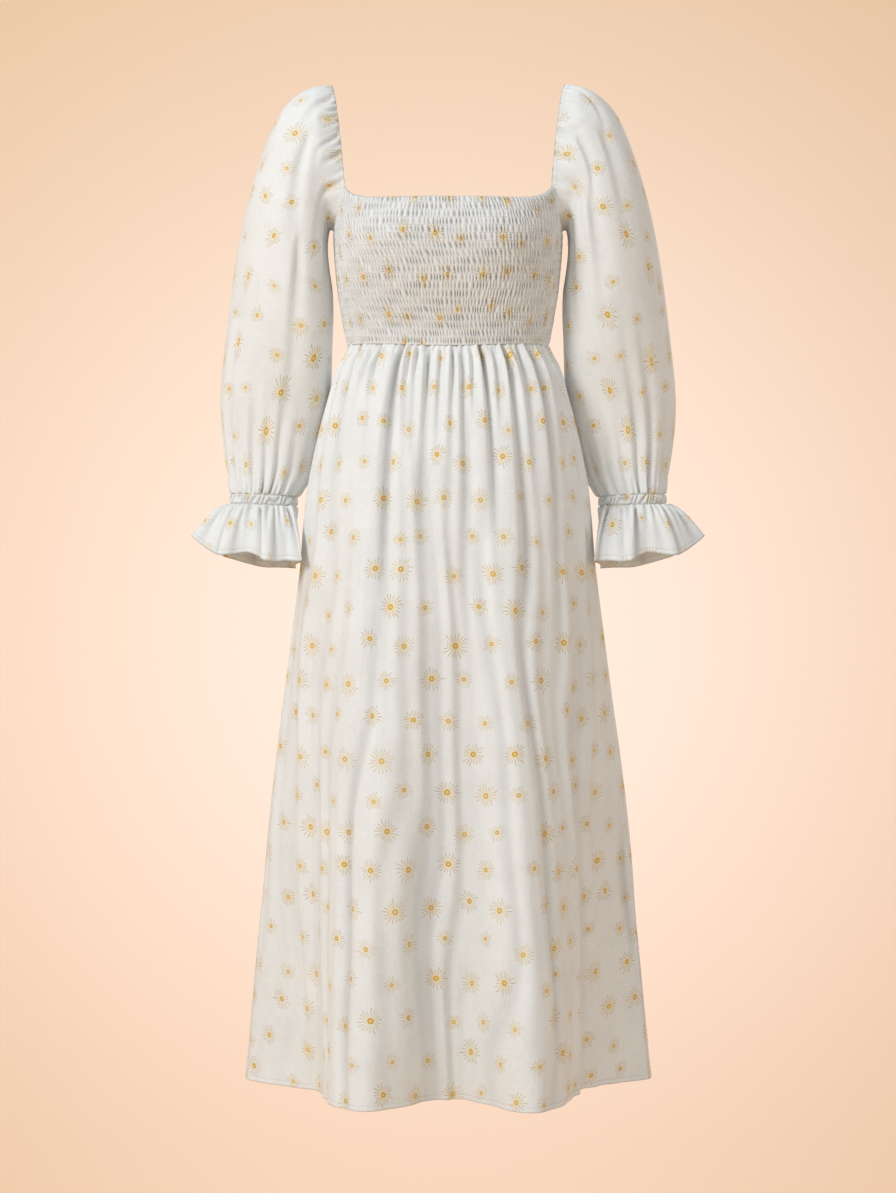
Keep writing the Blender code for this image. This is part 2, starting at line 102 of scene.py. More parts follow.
WAIST_ROW = 6

# How far a panel's side edge turns from its centre line: a quarter turn less half a seam's gap
SIDE_EDGE = math.pi / 2 - SEAM_GAP / 2 / BODY_SECTIONS[WAIST_ROW].half_width

# How far the wavy hem reaches, at angles in degrees from the front's centre line
HemWave = namedtuple("HemWave", "angle reach")
HEM_WAVES = [HemWave(*row) for row in (
    (-98, 0.2495), (-90, 0.2455), (-84, 0.2290), (-69, 0.1760), (-54, 0.1810), (-39, 0.2080),
    (-27, 0.2160), (-20, 0.1890), (-13, 0.1460), (-4, 0.1270), (5, 0.1230), (11, 0.1320),
    (17, 0.1680), (24, 0.2180), (33, 0.2190), (44, 0.1990), (55, 0.1820), (70, 0.1750),
    (83, 0.2070), (90, 0.2455), (98, 0.2495), (108, 0.2340), (120, 0.1980), (134, 0.1900),
    (148, 0.2060), (162, 0.1860), (176, 0.1600), (190, 0.1650), (204, 0.1990), (217, 0.2040),
    (231, 0.1860), (244, 0.1980), (254, 0.2360), (262, 0.2495), (270, 0.2455), (276, 0.2290),
)]

# Where the skirt's broad folds start and how they grow towards the hem, and the bust's two swells
HEM_WAVE_START_Z = -400 * MM
HEM_WAVE_GROWTH = 1.25
BUST_ANGLE = math.radians(31)
BUST_SPREAD = math.radians(20)
BUST_Z = -200 * MM
BUST_HEIGHT = 42 * MM
BUST_FULLNESS = 7 * MM

# The left sleeve's form from the shoulder down: the outer and inner end of each section seen
# from the front, half its depth, and where its middle lies from front to back
Arm = namedtuple("Arm", "outer_x outer_z inner_x inner_z half_depth middle_y")
ARM_SECTIONS = [Arm(*row) for row in (
    (0.1425, 0.0000, 0.1360, -0.1800, 0.056, 0.000),
    (0.1620, -0.0025, 0.1445, -0.1765, 0.059, 0.000),
    (0.1840, -0.0130, 0.1475, -0.1950, 0.061, 0.001),
    (0.2040, -0.0330, 0.1455, -0.2220, 0.063, 0.003),
    (0.2200, -0.0620, 0.1425, -0.2500, 0.064, 0.005),
    (0.2335, -0.0980, 0.1415, -0.2780, 0.065, 0.008),
    (0.2450, -0.1400, 0.1415, -0.3050, 0.066, 0.012),
    (0.2545, -0.1850, 0.1415, -0.3310, 0.067, 0.018),
    (0.2630, -0.2320, 0.1425, -0.3570, 0.067, 0.025),
    (0.2705, -0.2800, 0.1450, -0.3830, 0.067, 0.033),
    (0.2770, -0.3280, 0.1500, -0.4080, 0.066, 0.041),
    (0.2805, -0.3720, 0.1560, -0.4320, 0.064, 0.047),
    (0.2800, -0.4120, 0.1625, -0.4550, 0.060, 0.049),
    (0.2760, -0.4480, 0.1690, -0.4760, 0.053, 0.045),
    (0.2700, -0.4790, 0.1795, -0.4920, 0.044, 0.036),
    (0.2670, -0.4970, 0.1870, -0.5000, 0.038, 0.030),
)]
CUFF_TOP = len(ARM_SECTIONS) - 1
CUFF_HEIGHT = 12 * MM
CUFF_TUCK = 1.6 * MM

# The ruffle's hem: turns round the cuff, how far out from the cuff's centre, and its height
Ruffle = namedtuple("Ruffle", "turn out_x out_y z")
RUFFLE_EDGE = [Ruffle(*row) for row in (
    (0.000, 0.088, -0.012, -0.5480),
    (0.070, 0.064, -0.048, -0.5660),
    (0.140, 0.046, -0.072, -0.5730),
    (0.210, 0.014, -0.064, -0.5700),
    (0.280, -0.008, -0.088, -0.5800),
    (0.350, -0.034, -0.070, -0.5800),
    (0.420, -0.052, -0.080, -0.5810),
    (0.480, -0.042, -0.044, -0.5850),
    (0.540, -0.036, -0.010, -0.5880),
    (0.610, -0.038, 0.028, -0.5880),
    (0.680, -0.018, 0.034, -0.5870),
    (0.750, 0.006, 0.056, -0.5860),
    (0.820, 0.030, 0.040, -0.5800),
    (0.890, 0.058, 0.044, -0.5700),
    (0.945, 0.066, 0.016, -0.5580),
)]
RUFFLE_BELL = 0.75

# Folds of a ruffle: places and widths in turns round the cuff, and depths
RuffleFold = namedtuple("RuffleFold", "turn depth width")
RUFFLE_FOLDS = [RuffleFold(*row) for row in (
    (0.035, 0.0050, 0.012),
    (0.105, 0.0060, 0.010),
    (0.175, 0.0045, 0.009),
    (0.245, 0.0070, 0.011),
    (0.315, 0.0055, 0.009),
    (0.385, 0.0060, 0.010),
    (0.455, 0.0040, 0.009),
    (0.530, 0.0050, 0.011),
    (0.615, 0.0060, 0.010),
    (0.700, 0.0050, 0.011),
    (0.790, 0.0060, 0.011),
    (0.875, 0.0050, 0.010),
    (0.955, 0.0055, 0.010),
)]

# Long soft folds of the skirt. Angles are in degrees from the panel's centre line, at the waist
# seam and where the fold ends. The two factors deepen and lengthen every fold.
Fold = namedtuple("Fold", "start end depth width length")
FOLD_DEPTH = 1.8
FOLD_LENGTH = 1.35
FRONT_FOLDS = [Fold(*row) for row in (
    (-78, -72, 0.0040, 0.0070, 0.170),
    (-66, -60, 0.0050, 0.0075, 0.240),
    (-55, -50, 0.0035, 0.0055, 0.130),
    (-49, -38, 0.0045, 0.0060, 0.190),
    (-35, -25, 0.0085, 0.0090, 0.420),
    (-28, -19, 0.0035, 0.0050, 0.120),
    (-22, -15, 0.0040, 0.0055, 0.160),
    (-13, -13, 0.0060, 0.0070, 0.250),
    (-5, -6, 0.0035, 0.0050, 0.150),
    (3, 2, 0.0040, 0.0060, 0.170),
    (9, 10, 0.0065, 0.0080, 0.300),
    (17, 13, 0.0035, 0.0050, 0.110),
    (24, 23, 0.0065, 0.0075, 0.330),
    (32, 27, 0.0040, 0.0055, 0.140),
    (39, 36, 0.0060, 0.0070, 0.260),
    (48, 44, 0.0045, 0.0060, 0.170),
    (58, 52, 0.0070, 0.0080, 0.360),
    (68, 62, 0.0040, 0.0060, 0.150),
    (78, 72, 0.0050, 0.0070, 0.210),
)]
BACK_FOLDS = [Fold(*row) for row in (
    (-80, -74, 0.0045, 0.0070, 0.200),
    (-69, -63, 0.0060, 0.0080, 0.330),
    (-57, -52, 0.0040, 0.0060, 0.150),
    (-46, -40, 0.0065, 0.0080, 0.280),
    (-36, -33, 0.0040, 0.0055, 0.140),
    (-27, -22, 0.0070, 0.0085, 0.400),
    (-17, -15, 0.0040, 0.0055, 0.160),
    (-8, -7, 0.0060, 0.0075, 0.240),
    (1, 2, 0.0040, 0.0055, 0.150),
    (10, 9, 0.0065, 0.0080, 0.340),
    (20, 17, 0.0040, 0.0055, 0.150),
    (29, 26, 0.0060, 0.0080, 0.260),
    (40, 35, 0.0045, 0.0060, 0.180),
    (50, 45, 0.0070, 0.0080, 0.370),
    (62, 57, 0.0045, 0.0060, 0.160),
    (73, 68, 0.0055, 0.0070, 0.230),
)]

# Folds of a sleeve: turns round the sleeve at both ends, rows of ARM_SECTIONS,
# and the depth, with the width in turns
SleeveFold = namedtuple("SleeveFold", "turn end_turn first_row last_row depth width")
LEFT_SLEEVE_FOLDS = [SleeveFold(*row) for row in (
    (0.040, 0.165, 0.1, 3.4, 0.0080, 0.012),
    (0.160, 0.190, 2.0, 8.0, 0.0060, 0.022),
    (0.990, 0.035, 0.6, 3.4, 0.0060, 0.010),
    (0.178, 0.165, 0.1, 1.5, 0.0055, 0.006),
    (0.230, 0.180, 0.05, 1.8, 0.0065, 0.006),
    (0.215, 0.285, 0.5, 5.0, 0.0080, 0.016),
    (0.285, 0.275, 2.4, 9.5, 0.0075, 0.020),
    (0.275, 0.290, 0.05, 1.4, 0.0045, 0.007),
    (0.325, 0.345, 0.1, 4.4, 0.0050, 0.011),
    (0.420, 0.385, 0.6, 8.0, 0.0065, 0.015),
    (0.500, 0.470, 0.6, 6.0, 0.0055, 0.012),
    (0.580, 0.600, 0.6, 7.0, 0.0060, 0.014),
    (0.690, 0.680, 0.1, 5.0, 0.0060, 0.012),
    (0.760, 0.740, 0.1, 7.0, 0.0065, 0.013),
    (0.830, 0.800, 0.1, 4.5, 0.0055, 0.011),
    (0.890, 0.850, 0.1, 6.5, 0.0070, 0.014),
    (0.950, 0.930, 0.1, 3.6, 0.0060, 0.011),
    (0.050, 0.060, 9.0, 15.2, 0.0070, 0.011),
    (0.115, 0.110, 9.5, 15.2, 0.0070, 0.010),
    (0.185, 0.178, 7.0, 15.2, 0.0105, 0.011),
    (0.235, 0.228, 6.5, 15.2, 0.0085, 0.011),
    (0.285, 0.280, 10.0, 15.2, 0.0070, 0.009),
    (0.340, 0.335, 8.0, 15.2, 0.0080, 0.011),
    (0.405, 0.395, 9.5, 15.2, 0.0065, 0.010),
    (0.470, 0.460, 10.5, 15.2, 0.0060, 0.010),
    (0.540, 0.530, 9.0, 15.2, 0.0065, 0.012),
    (0.610, 0.610, 10.0, 15.2, 0.0070, 0.011),
    (0.690, 0.685, 8.0, 15.2, 0.0070, 0.012),
    (0.765, 0.770, 10.0, 15.2, 0.0065, 0.010),
    (0.845, 0.850, 8.5, 15.2, 0.0070, 0.012),
    (0.935, 0.935, 9.5, 15.2, 0.0065, 0.011),
)]
RIGHT_SLEEVE_FOLDS = [SleeveFold(*row) for row in (
    (0.110, 0.205, 0.1, 3.4, 0.0066, 0.015),
    (0.195, 0.285, 1.2, 7.2, 0.0078, 0.022),
    (0.275, 0.325, 4.2, 14.0, 0.0075, 0.020),
    (0.169, 0.150, 0.05, 1.3, 0.0040, 0.006),
    (0.191, 0.167, 0.05, 1.5, 0.0046, 0.006),
    (0.228, 0.256, 0.05, 1.8, 0.0050, 0.006),
    (0.270, 0.280, 0.05, 1.2, 0.0045, 0.007),
    (0.020, 0.060, 0.3, 3.0, 0.0040, 0.012),
    (0.335, 0.350, 0.1, 5.2, 0.0050, 0.011),
    (0.430, 0.400, 0.6, 7.0, 0.0060, 0.014),
    (0.510, 0.480, 0.6, 6.5, 0.0055, 0.012),
    (0.590, 0.610, 0.6, 6.0, 0.0060, 0.014),
    (0.680, 0.670, 0.1, 6.0, 0.0060, 0.012),
    (0.750, 0.730, 0.1, 4.8, 0.0065, 0.013),
    (0.820, 0.790, 0.1, 6.8, 0.0060, 0.011),
    (0.880, 0.850, 0.1, 4.6, 0.0070, 0.014),
    (0.940, 0.915, 0.1, 5.6, 0.0060, 0.011),
    (0.030, 0.035, 9.5, 15.2, 0.0065, 0.011),
    (0.105, 0.100, 7.0, 15.2, 0.0085, 0.012),
    (0.150, 0.150, 10.5, 15.2, 0.0060, 0.009),
    (0.200, 0.197, 8.0, 15.2, 0.0080, 0.010),
    (0.250, 0.247, 9.5, 15.2, 0.0075, 0.009),
    (0.295, 0.287, 7.0, 15.2, 0.0080, 0.010),
    (0.345, 0.337, 9.5, 15.2, 0.0075, 0.010),
    (0.400, 0.390, 8.5, 15.2, 0.0070, 0.011),
    (0.465, 0.455, 10.5, 15.2, 0.0060, 0.010),
    (0.530, 0.525, 9.5, 15.2, 0.0065, 0.012),
    (0.600, 0.600, 8.5, 15.2, 0.0070, 0.011),
    (0.680, 0.680, 10.0, 15.2, 0.0070, 0.012),
    (0.755, 0.760, 8.5, 15.2, 0.0065, 0.010),
    (0.835, 0.845, 9.5, 15.2, 0.0070, 0.012),
    (0.920, 0.925, 8.0, 15.2, 0.0065, 0.011),
)]
NECK_FOLD_ROWS = 5

# Mesh fineness: columns and rows of each sheet
BODICE_GRID = (490, 96)
SKIRT_GRID = (250, 156)
SLEEVE_GRID = (224, 108)
CUFF_GRID = (240, 16)
RUFFLE_GRID = (260, 34)

# The skirt's lowest rows, as shares of its height, close together for the rolled hem
SKIRT_HEIGHT = 0.89
HEM_ROWS = np.array((0, 0.6, 1.4, 2.4, 4.2, 5.0, 5.9, 6.6, 9.0, 13.0)) * MM / SKIRT_HEIGHT

# The net of springs that lays a sleeve flat: rows and columns, steps, and how fast it gives way
SLEEVE_NET = (19, 33)
NET_STEPS = 900
NET_GIVE = 0.2

# Heights of the cloth's small relief
SKIRT_RIPPLE = 2.7 * MM
WAIST_PINCH = 3 * MM
SKIRT_SWELL = 3.4 * MM
SKIRT_TOP_DIP = 1.6 * MM
HEM_ROLL = 0.4 * MM
NECK_RIPPLE = 1.1 * MM
WRIST_RIPPLE = 2.2 * MM
SLEEVE_SWELL = 1.6 * MM
CUFF_PUCKER = 2.7 * MM
RUFFLE_RIPPLE = 2.2 * MM
STITCH_LENGTH = 2.6 * MM

# Where each sheet's flat cut lies on the printed cloth, in metres
FLAT_CORNERS = {
    "bodice_front": (0, 3.1), "bodice_back": (0, 3.1), "skirt_front": (0, 0.4), "skirt_back": (0, 1.7),
    "sleeve_left": (1.3, 4), "sleeve_right": (2.6, 4), "cuff_left": (3.9, 4), "cuff_right": (3.4, 4),
    "ruffle_left": (5.2, 4), "ruffle_right": (4.4, 4),
}

# Rows of elastic thread on the front panel, each as long as the finished panel is wide
ELASTIC_ROWS = 19

# The flat cloth before it was gathered, over the finished width
BODICE_FULLNESS = 1.42
WAIST_FULLNESS = 1.35
CUFF_FULLNESS = 1.4
RUFFLE_FULLNESS = 0.95

# The picture's camera: level, and this far in front of the dress's middle plane
CAMERA_DISTANCE = 3.0
CAMERA_Z = -0.623
PICTURE_HEIGHT = 1.455


def smooth_curve(knots, values):
    """A function that gives the smooth curve through the values at the rising knots, for arrays."""
    knots, values = np.asarray(knots, float), np.asarray(values, float)
    last = len(knots) - 1
    after, before = np.minimum(np.arange(last + 1) + 1, last), np.maximum(np.arange(last + 1) - 1, 0)
    slopes = (values[after] - values[before]) / (knots[after] - knots[before])

    def value(at):
        at = np.clip(at, knots[0], knots[-1])
        left = np.clip(np.searchsorted(knots, at, side="right") - 1, 0, last - 1)
        span = knots[left + 1] - knots[left]
        share = (at - knots[left]) / span
        rise = values[left + 1] - values[left]
        start, end = slopes[left] * span, slopes[left + 1] * span
        bend = 3 * rise - 2 * start - end + share * (start + end - 2 * rise)
        return values[left] + share * (start + share * bend)

    return value


def table_curves(rows, knots):
    """Each column of a table as a smooth curve, in the order of the columns."""
    return [smooth_curve(knots, column) for column in zip(*rows)]


def one_more_turn(rows):
    """A closed table with a row before its start and two past its end, so that its curve closes."""
    before = rows[-1]._replace(turn=rows[-1].turn - 1)
    after = [row._replace(turn=row.turn + 1) for row in rows[:2]]
    return [before] + rows + after


BODY_CURVES = table_curves(BODY_SECTIONS[::-1], [row.z for row in BODY_SECTIONS[::-1]])
ARM_CURVES = table_curves(ARM_SECTIONS, range(len(ARM_SECTIONS)))
HEM_REACH = smooth_curve([row.angle for row in HEM_WAVES], [row.reach for row in HEM_WAVES])
RUFFLE_ROWS = one_more_turn(RUFFLE_EDGE)
RUFFLE_CURVES = table_curves(RUFFLE_ROWS, [row.turn for row in RUFFLE_ROWS])


def smoothstep(share):
    share = np.clip(share, 0.0, 1.0)
    return share * share * (3 - 2 * share)


def ramp(at, start, end):
    """0 up to the start, 1 past the end, and smooth between them."""
    return smoothstep((at - start) / (end - start))


def section_radius(ring, angle):
    """How far a rounded section reaches from the centre line at an angle."""
    sine, cosine = np.sin(angle), np.cos(angle)
    depth = np.where(cosine > 0, ring.front, ring.back)
    shape = np.where(cosine > 0, ring.front_shape, ring.back_shape)
    total = np.abs(sine / ring.half_width) ** shape + np.abs(cosine / depth) ** shape
    return total ** (-1 / shape)


def body_ring(z):
    return Section(*(curve(z) for curve in BODY_CURVES))


def body_point(angle, z):
    """The smooth body form with the skirt's broad folds, as an array of points."""
    radius = section_radius(body_ring(z), angle)
    height = np.exp(-(((z - BUST_Z) / BUST_HEIGHT) ** 2))
    for side in (-BUST_ANGLE, BUST_ANGLE):
        radius = radius + BUST_FULLNESS * height * np.exp(-(((angle - side) / BUST_SPREAD) ** 2))
    degrees = (np.degrees(angle) + 90) % 360 - 90
    wave = HEM_REACH(degrees) / section_radius(body_ring(np.full_like(z, HEM_Z)), angle)
    below = np.maximum(HEM_WAVE_START_Z - z, 0) / (HEM_WAVE_START_Z - HEM_Z)
    radius = radius * (1 + below**HEM_WAVE_GROWTH * (wave - 1))
    return np.stack((radius * np.sin(angle), -radius * np.cos(angle), z), axis=-1)


def waist_z(angle):
    middle, swing = (WAIST_CENTRE_Z + WAIST_SIDE_Z) / 2, (WAIST_CENTRE_Z - WAIST_SIDE_Z) / 2
    return middle + swing * np.cos(2 * angle)


def neck_edge_z(away, front):
    """The neckline's height at an angle from the panel's centre line, without the armhole."""
    corner, corner_z, neck_z = (
        (FRONT_CORNER, FRONT_CORNER_Z, FRONT_NECK_Z) if front else (BACK_CORNER, BACK_CORNER_Z, BACK_NECK_Z)
    )
    return neck_z + (corner_z - neck_z) * np.minimum(away / corner, 1) ** CORNER_CURVE


def panel_top_z(away, front):
    """The neckline and, past its corner, the armhole down to the underarm."""
    corner = FRONT_CORNER if front else BACK_CORNER
    corner_z = FRONT_CORNER_Z if front else BACK_CORNER_Z
    inside = np.clip((math.pi / 2 - away) / (math.pi / 2 - corner), 0, 1)
    armhole = UNDERARM_Z + (corner_z - UNDERARM_Z) * (1 - np.sqrt(1 - inside * inside))
    return np.where(away <= corner, neck_edge_z(away, front), armhole)


def outward(points, around):
    """The outward direction at each point of a grid whose columns turn anticlockwise seen from outside."""
    if around:
        across = np.roll(points, -1, axis=1) - np.roll(points, 1, axis=1)
    else:
        across = np.gradient(points, axis=1)
    normal = np.cross(across, np.gradient(points, axis=0))
    return normal / np.linalg.norm(normal, axis=-1, keepdims=True)


def wobble(at, *waves):
    """A smooth irregular line: the sum of a few waves, each (length, size, start)."""
    return sum(size * np.sin(2 * math.pi * at / length + start) for length, size, start in waves)


def closed(grid):
    """The grid of a tube with its first column once more at its end."""
    return np.concatenate((grid, grid[:, :1]), axis=1)


def cloth_sheet(name, points, flat, threads, painted_shade, around, slot):
    """A thin shell through a grid of points, with its flat cut as the UV map in metres.

    threads counts the rows of stitching: where it is a whole number, a thread runs along the cloth.
    Painted shade comes in from 0 to 1: the cloth is painted darker deep in a fold and near a turned edge.
    """
    rows, columns = points.shape[:2]
    if around:
        points, threads, painted_shade = closed(points), closed(threads), closed(painted_shade)
        columns += 1
    bpy.ops.object.select_all(action="DESELECT")
    bpy.ops.mesh.primitive_grid_add(x_subdivisions=columns - 1, y_subdivisions=rows - 1, size=2)
    piece = bpy.context.object
    piece.name = f"{name}_cloth"
    piece.data.name = piece.name
    mesh = piece.data
    at = np.empty(len(mesh.vertices) * 3)
    mesh.vertices.foreach_get("co", at)
    at = at.reshape(-1, 3)
    column = np.rint((at[:, 0] + 1) / 2 * (columns - 1)).astype(int)
    row = np.rint((at[:, 1] + 1) / 2 * (rows - 1)).astype(int)
    mesh.vertices.foreach_set("co", points[row, column].ravel())
    corners = np.empty(len(mesh.loops), int)
    mesh.loops.foreach_get("vertex_index", corners)
    mesh.uv_layers[0].name = "flat_cloth"
    mesh.uv_layers[0].data.foreach_set("uv", flat[row, column][corners].ravel())
    # The second attribute carries the painted shade of folds and turned edges into the material
    for label, values in (("thread_rows", threads), ("painted_shade_depth", painted_shade)):
        mesh.attributes.new(label, "FLOAT", "POINT").data.foreach_set("value", values[row, column])
    mesh.update()
    if around:
        bpy.ops.object.mode_set(mode="EDIT")
        bpy.ops.mesh.select_all(action="SELECT")
        bpy.ops.mesh.remove_doubles(threshold=1e-5)
        bpy.ops.object.mode_set(mode="OBJECT")
    wall = piece.modifiers.new("cloth", "SOLIDIFY")
    wall.thickness = bpy.context.scene.dress_sizes.cloth_thickness
    wall.offset = -1
    bpy.ops.object.modifier_apply(modifier=wall.name)
    bpy.ops.object.shade_smooth()
    piece.data.materials.append(cotton_finish(slot))
    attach(piece, "root")
    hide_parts(name)
    width, length = flat_size(flat)
    min(flat_area(flat), width * length)


def flat_area(flat):
    """The area of the flat cut: the sum over the cells of a grid of flat places."""
    along = flat[1:, :-1] - flat[:-1, :-1]
    across = flat[:-1, 1:] - flat[:-1, :-1]
    return float(np.abs(across[..., 0] * along[..., 1] - across[..., 1] * along[..., 0]).sum())


def flat_size(flat):
    low, high = flat.reshape(-1, 2).min(axis=0), flat.reshape(-1, 2).max(axis=0)
    return float(high[0] - low[0]), float(high[1] - low[1])


class Value:
    """A number, vector or colour on a surface, which Python's arithmetic works on."""

    def __init__(self, finish, socket):
        self.finish = finish
        self.socket = socket

    def maths(self, operation, *numbers):
        return self.finish.node("ShaderNodeMath", {"operation": operation}, dict(enumerate(numbers)))[0]

    def __add__(self, other):
        return self.maths("ADD", self, other)

    __radd__ = __add__

    def __sub__(self, other):
        return self.maths("SUBTRACT", self, other)

    def __rsub__(self, other):
        return self.maths("SUBTRACT", other, self)

    def __mul__(self, other):
        return self.maths("MULTIPLY", self, other)

    __rmul__ = __mul__

    def __truediv__(self, other):
        return self.maths("DIVIDE", self, other)

    def __abs__(self):
        return self.maths("ABSOLUTE", self)

    def floor(self):
        return self.maths("FLOOR", self)

    def part(self):
        """What is left of the number past its whole part."""
        return self.maths("FRACT", self)

    def ramp(self, start, end):
        """0 before the start, 1 past the end and smooth between; with the end below the start, it falls."""
        low, high, values = (start, end, (0, 1)) if start < end else (end, start, (1, 0))
        inputs = {"Value": self, "From Min": low, "From Max": high, "To Min": values[0], "To Max": values[1]}
        return self.finish.node("ShaderNodeMapRange", {"interpolation_type": "SMOOTHSTEP"}, inputs)[0]


class Finish:
    """A material whose nodes are all added by one method."""

    def __init__(self, name):
        self.material = bpy.data.materials.new(name)
        self.material.use_nodes = True
        self.tree = self.material.node_tree
        self.shader = self.tree.nodes["Principled BSDF"]

    def node(self, kind, settings=None, inputs=None):
        """Adds a node: its settings first, then its sockets' values or links. Gives its outputs."""
        made = self.tree.nodes.new(kind)
        for name, value in (settings or {}).items():
            setattr(made, name, value)
        for key, value in (inputs or {}).items():
            if isinstance(value, Value):
                self.tree.links.new(value.socket, made.inputs[key])
            else:
                made.inputs[key].default_value = value
        return [Value(self, socket) for socket in made.outputs]

    def mixed(self, first, second, share):
        """From the first colour to the second as the share goes from 0 to 1."""
        return self.node("ShaderNodeMix", {"data_type": "RGBA"}, {0: share, 6: first, 7: second})[2]

    def with_painted_shade(self, colour, tint, share):
        """The colour times the tint, as far as the share says: used to paint shade into the cloth."""
        settings = {"data_type": "RGBA", "blend_type": "MULTIPLY"}
        return self.node("ShaderNodeMix", settings, {0: share, 6: colour, 7: tint})[2]

    def at(self, x, y, z):
        return self.node("ShaderNodeCombineXYZ", inputs={0: x, 1: y, 2: z})[0]

    def noise(self, place, scale, detail):
        inputs = {"Vector": place, "Scale": scale, "Detail": detail, "Roughness": 0.55}
        return self.node("ShaderNodeTexNoise", inputs=inputs)[0]

    def dice(self, x, y, z):
        """Three random numbers for each whole place."""
        colour = self.node("ShaderNodeTexWhiteNoise", inputs={"Vector": self.at(x, y, z)})[1]
        return self.node("ShaderNodeSeparateColor", inputs={0: colour})[:3]

    def feed(self, name, value):
        self.tree.links.new(value.socket, self.shader.inputs[name])

    def set(self, **values):
        """Sets the shader's own sockets, with _ for the spaces in their names."""
        for name, value in values.items():
            self.shader.inputs[name.replace("_", " ")].default_value = value


def daisy_print(finish, across, along, place, sizes):
    """Masks of the scattered daisies: petal strokes, their tone, glow, centre ring and light spot."""
    pitch = sizes.daisy_spacing
    line = pitch * math.sin(math.pi / 3)
    rows = along / line
    row = rows.floor()
    columns = across / pitch + 0.5 * row.maths("FLOORED_MODULO", row, 2)
    column = columns.floor()
    first, second, third = finish.dice(column, row, 0.37)
    reach = (0.36 * third + 0.64) * sizes.daisy_radius
    x = (columns.part() - 0.5) * pitch - (2 * first - 1) * (pitch / 2 - reach)
    y = (rows.part() - 0.5) * line - (2 * second - 1) * (line / 2 - reach)
    distance = x.maths("SQRT", x * x + y * y)
    radius = distance / reach
    turn = x.maths("ARCTAN2", y, x) * (sizes.daisy_petals / (2 * math.pi)) + 7 * first
    length, bend, root = finish.dice(turn.floor(), column, row)
    off_line = abs(turn.part() - 0.5 + 0.3 * (bend - 0.5)) * (2 * math.pi / sizes.daisy_petals) * radius
    half_width = sizes.stroke_width / sizes.daisy_radius / 2
    stroke = (off_line / (0.45 + 0.55 * radius.ramp(0.15, 0.5))).ramp(1.15 * half_width, 0.75 * half_width)
    tip = (radius - 0.34 * length).ramp(0.68, 0.63)
    base = (radius - 0.10 * root).ramp(0.22, 0.27)
    dry = finish.noise(place, 900, 2).ramp(0.32, 0.5)
    petals = stroke * tip * base * (0.45 + 0.55 * dry) * (0.68 + 0.32 * first)
    tone = radius.ramp(0.3, 0.8) * (0.3 + 0.7 * second)
    glow = radius.ramp(0.40, 0.14) * (0.3 + 0.4 * first)
    ring = radius.ramp(0.06, 0.11) * radius.ramp(0.24, 0.19) * (0.7 + 0.3 * second)
    return petals, tone, glow, ring, 0.8 * radius.ramp(0.11, 0.06)


def cotton_finish(slot):
    """White slubby cotton with the daisy print, its weave, the thread of its stitching, and painted shade in
    its folds and along its turned edges.
    """
    name = f"woven_{slot}"
    made = bpy.data.materials.get(name)
    if made:
        return made
    sizes, colours = bpy.context.scene.dress_sizes, bpy.context.scene.dress_colours
    finish = Finish(name)
    place = finish.node("ShaderNodeUVMap", {"uv_map": "flat_cloth"})[0]
    across, along, _ = finish.node("ShaderNodeSeparateXYZ", inputs={0: place})
    rows = finish.node("ShaderNodeAttribute", {"attribute_name": "thread_rows"})[2]
    petals, tone, glow, ring, spot = daisy_print(finish, across, along, place, sizes)

    weft = finish.noise(finish.at(across * 70, along / sizes.thread_pitch, 1), 1, 3)
    warp = finish.noise(finish.at(across / sizes.thread_pitch, along * 70, 2), 1, 3)
    broad = finish.noise(place, 16, 3)
    crinkle = finish.noise(place, 160, 3)
    slubs = finish.noise(finish.at(across * 420, along * 26, 3), 1, 2).ramp(0.52, 0.72)
    creases = finish.noise(finish.at(across * 95, along * 30, 4), 1, 3)

    cotton = finish.mixed(tuple(colours.cotton_shade), tuple(colours.cotton), (weft + warp).ramp(0.78, 1.1))
    cotton = finish.mixed(cotton, tuple(colours.cotton_light), 0.6 * broad.ramp(0.35, 0.7))
    cotton = finish.mixed(cotton, tuple(colours.cotton_shade), 0.5 * slubs)
    gold = finish.mixed(tuple(colours.petal), tuple(colours.petal_dark), tone)
    printed = finish.mixed(cotton, tuple(colours.spot), glow)
    printed = finish.mixed(printed, gold, petals)
    printed = finish.mixed(printed, tuple(colours.spot), spot)
    printed = finish.mixed(printed, tuple(colours.centre), ring)
    stitch = abs((across / STITCH_LENGTH).part() - 0.5).ramp(0.42, 0.34)
    thread = abs((rows + 0.5).part() - 0.5).ramp(0.045, 0.02) * stitch
    printed = finish.mixed(printed, tuple(colours.thread), 0.6 * thread)
    # Painted shade: the colour is darkened by the tint as deep in a fold or as near a turned edge as the
    # attribute says
    shade_paint = finish.node("ShaderNodeAttribute", {"attribute_name": "painted_shade_depth"})[2]
    printed = finish.with_painted_shade(printed, tuple(colours.shade_paint), shade_paint)
    finish.feed("Base Color", printed)
    finish.feed("Roughness", 0.78 + 0.1 * (weft + warp) / 2)
    height = 0.5 * (weft + warp) + 1.2 * crinkle + 2.5 * creases + 1.5 * broad + 1.2 * thread
    inputs = {"Strength": 0.6, "Distance": sizes.weave_depth, "Height": height}
    finish.feed("Normal", finish.node("ShaderNodeBump", inputs=inputs)[0])
    finish.set(Sheen_Weight=0.12, Sheen_Roughness=0.5, Specular_IOR_Level=0.25)
    return finish.material


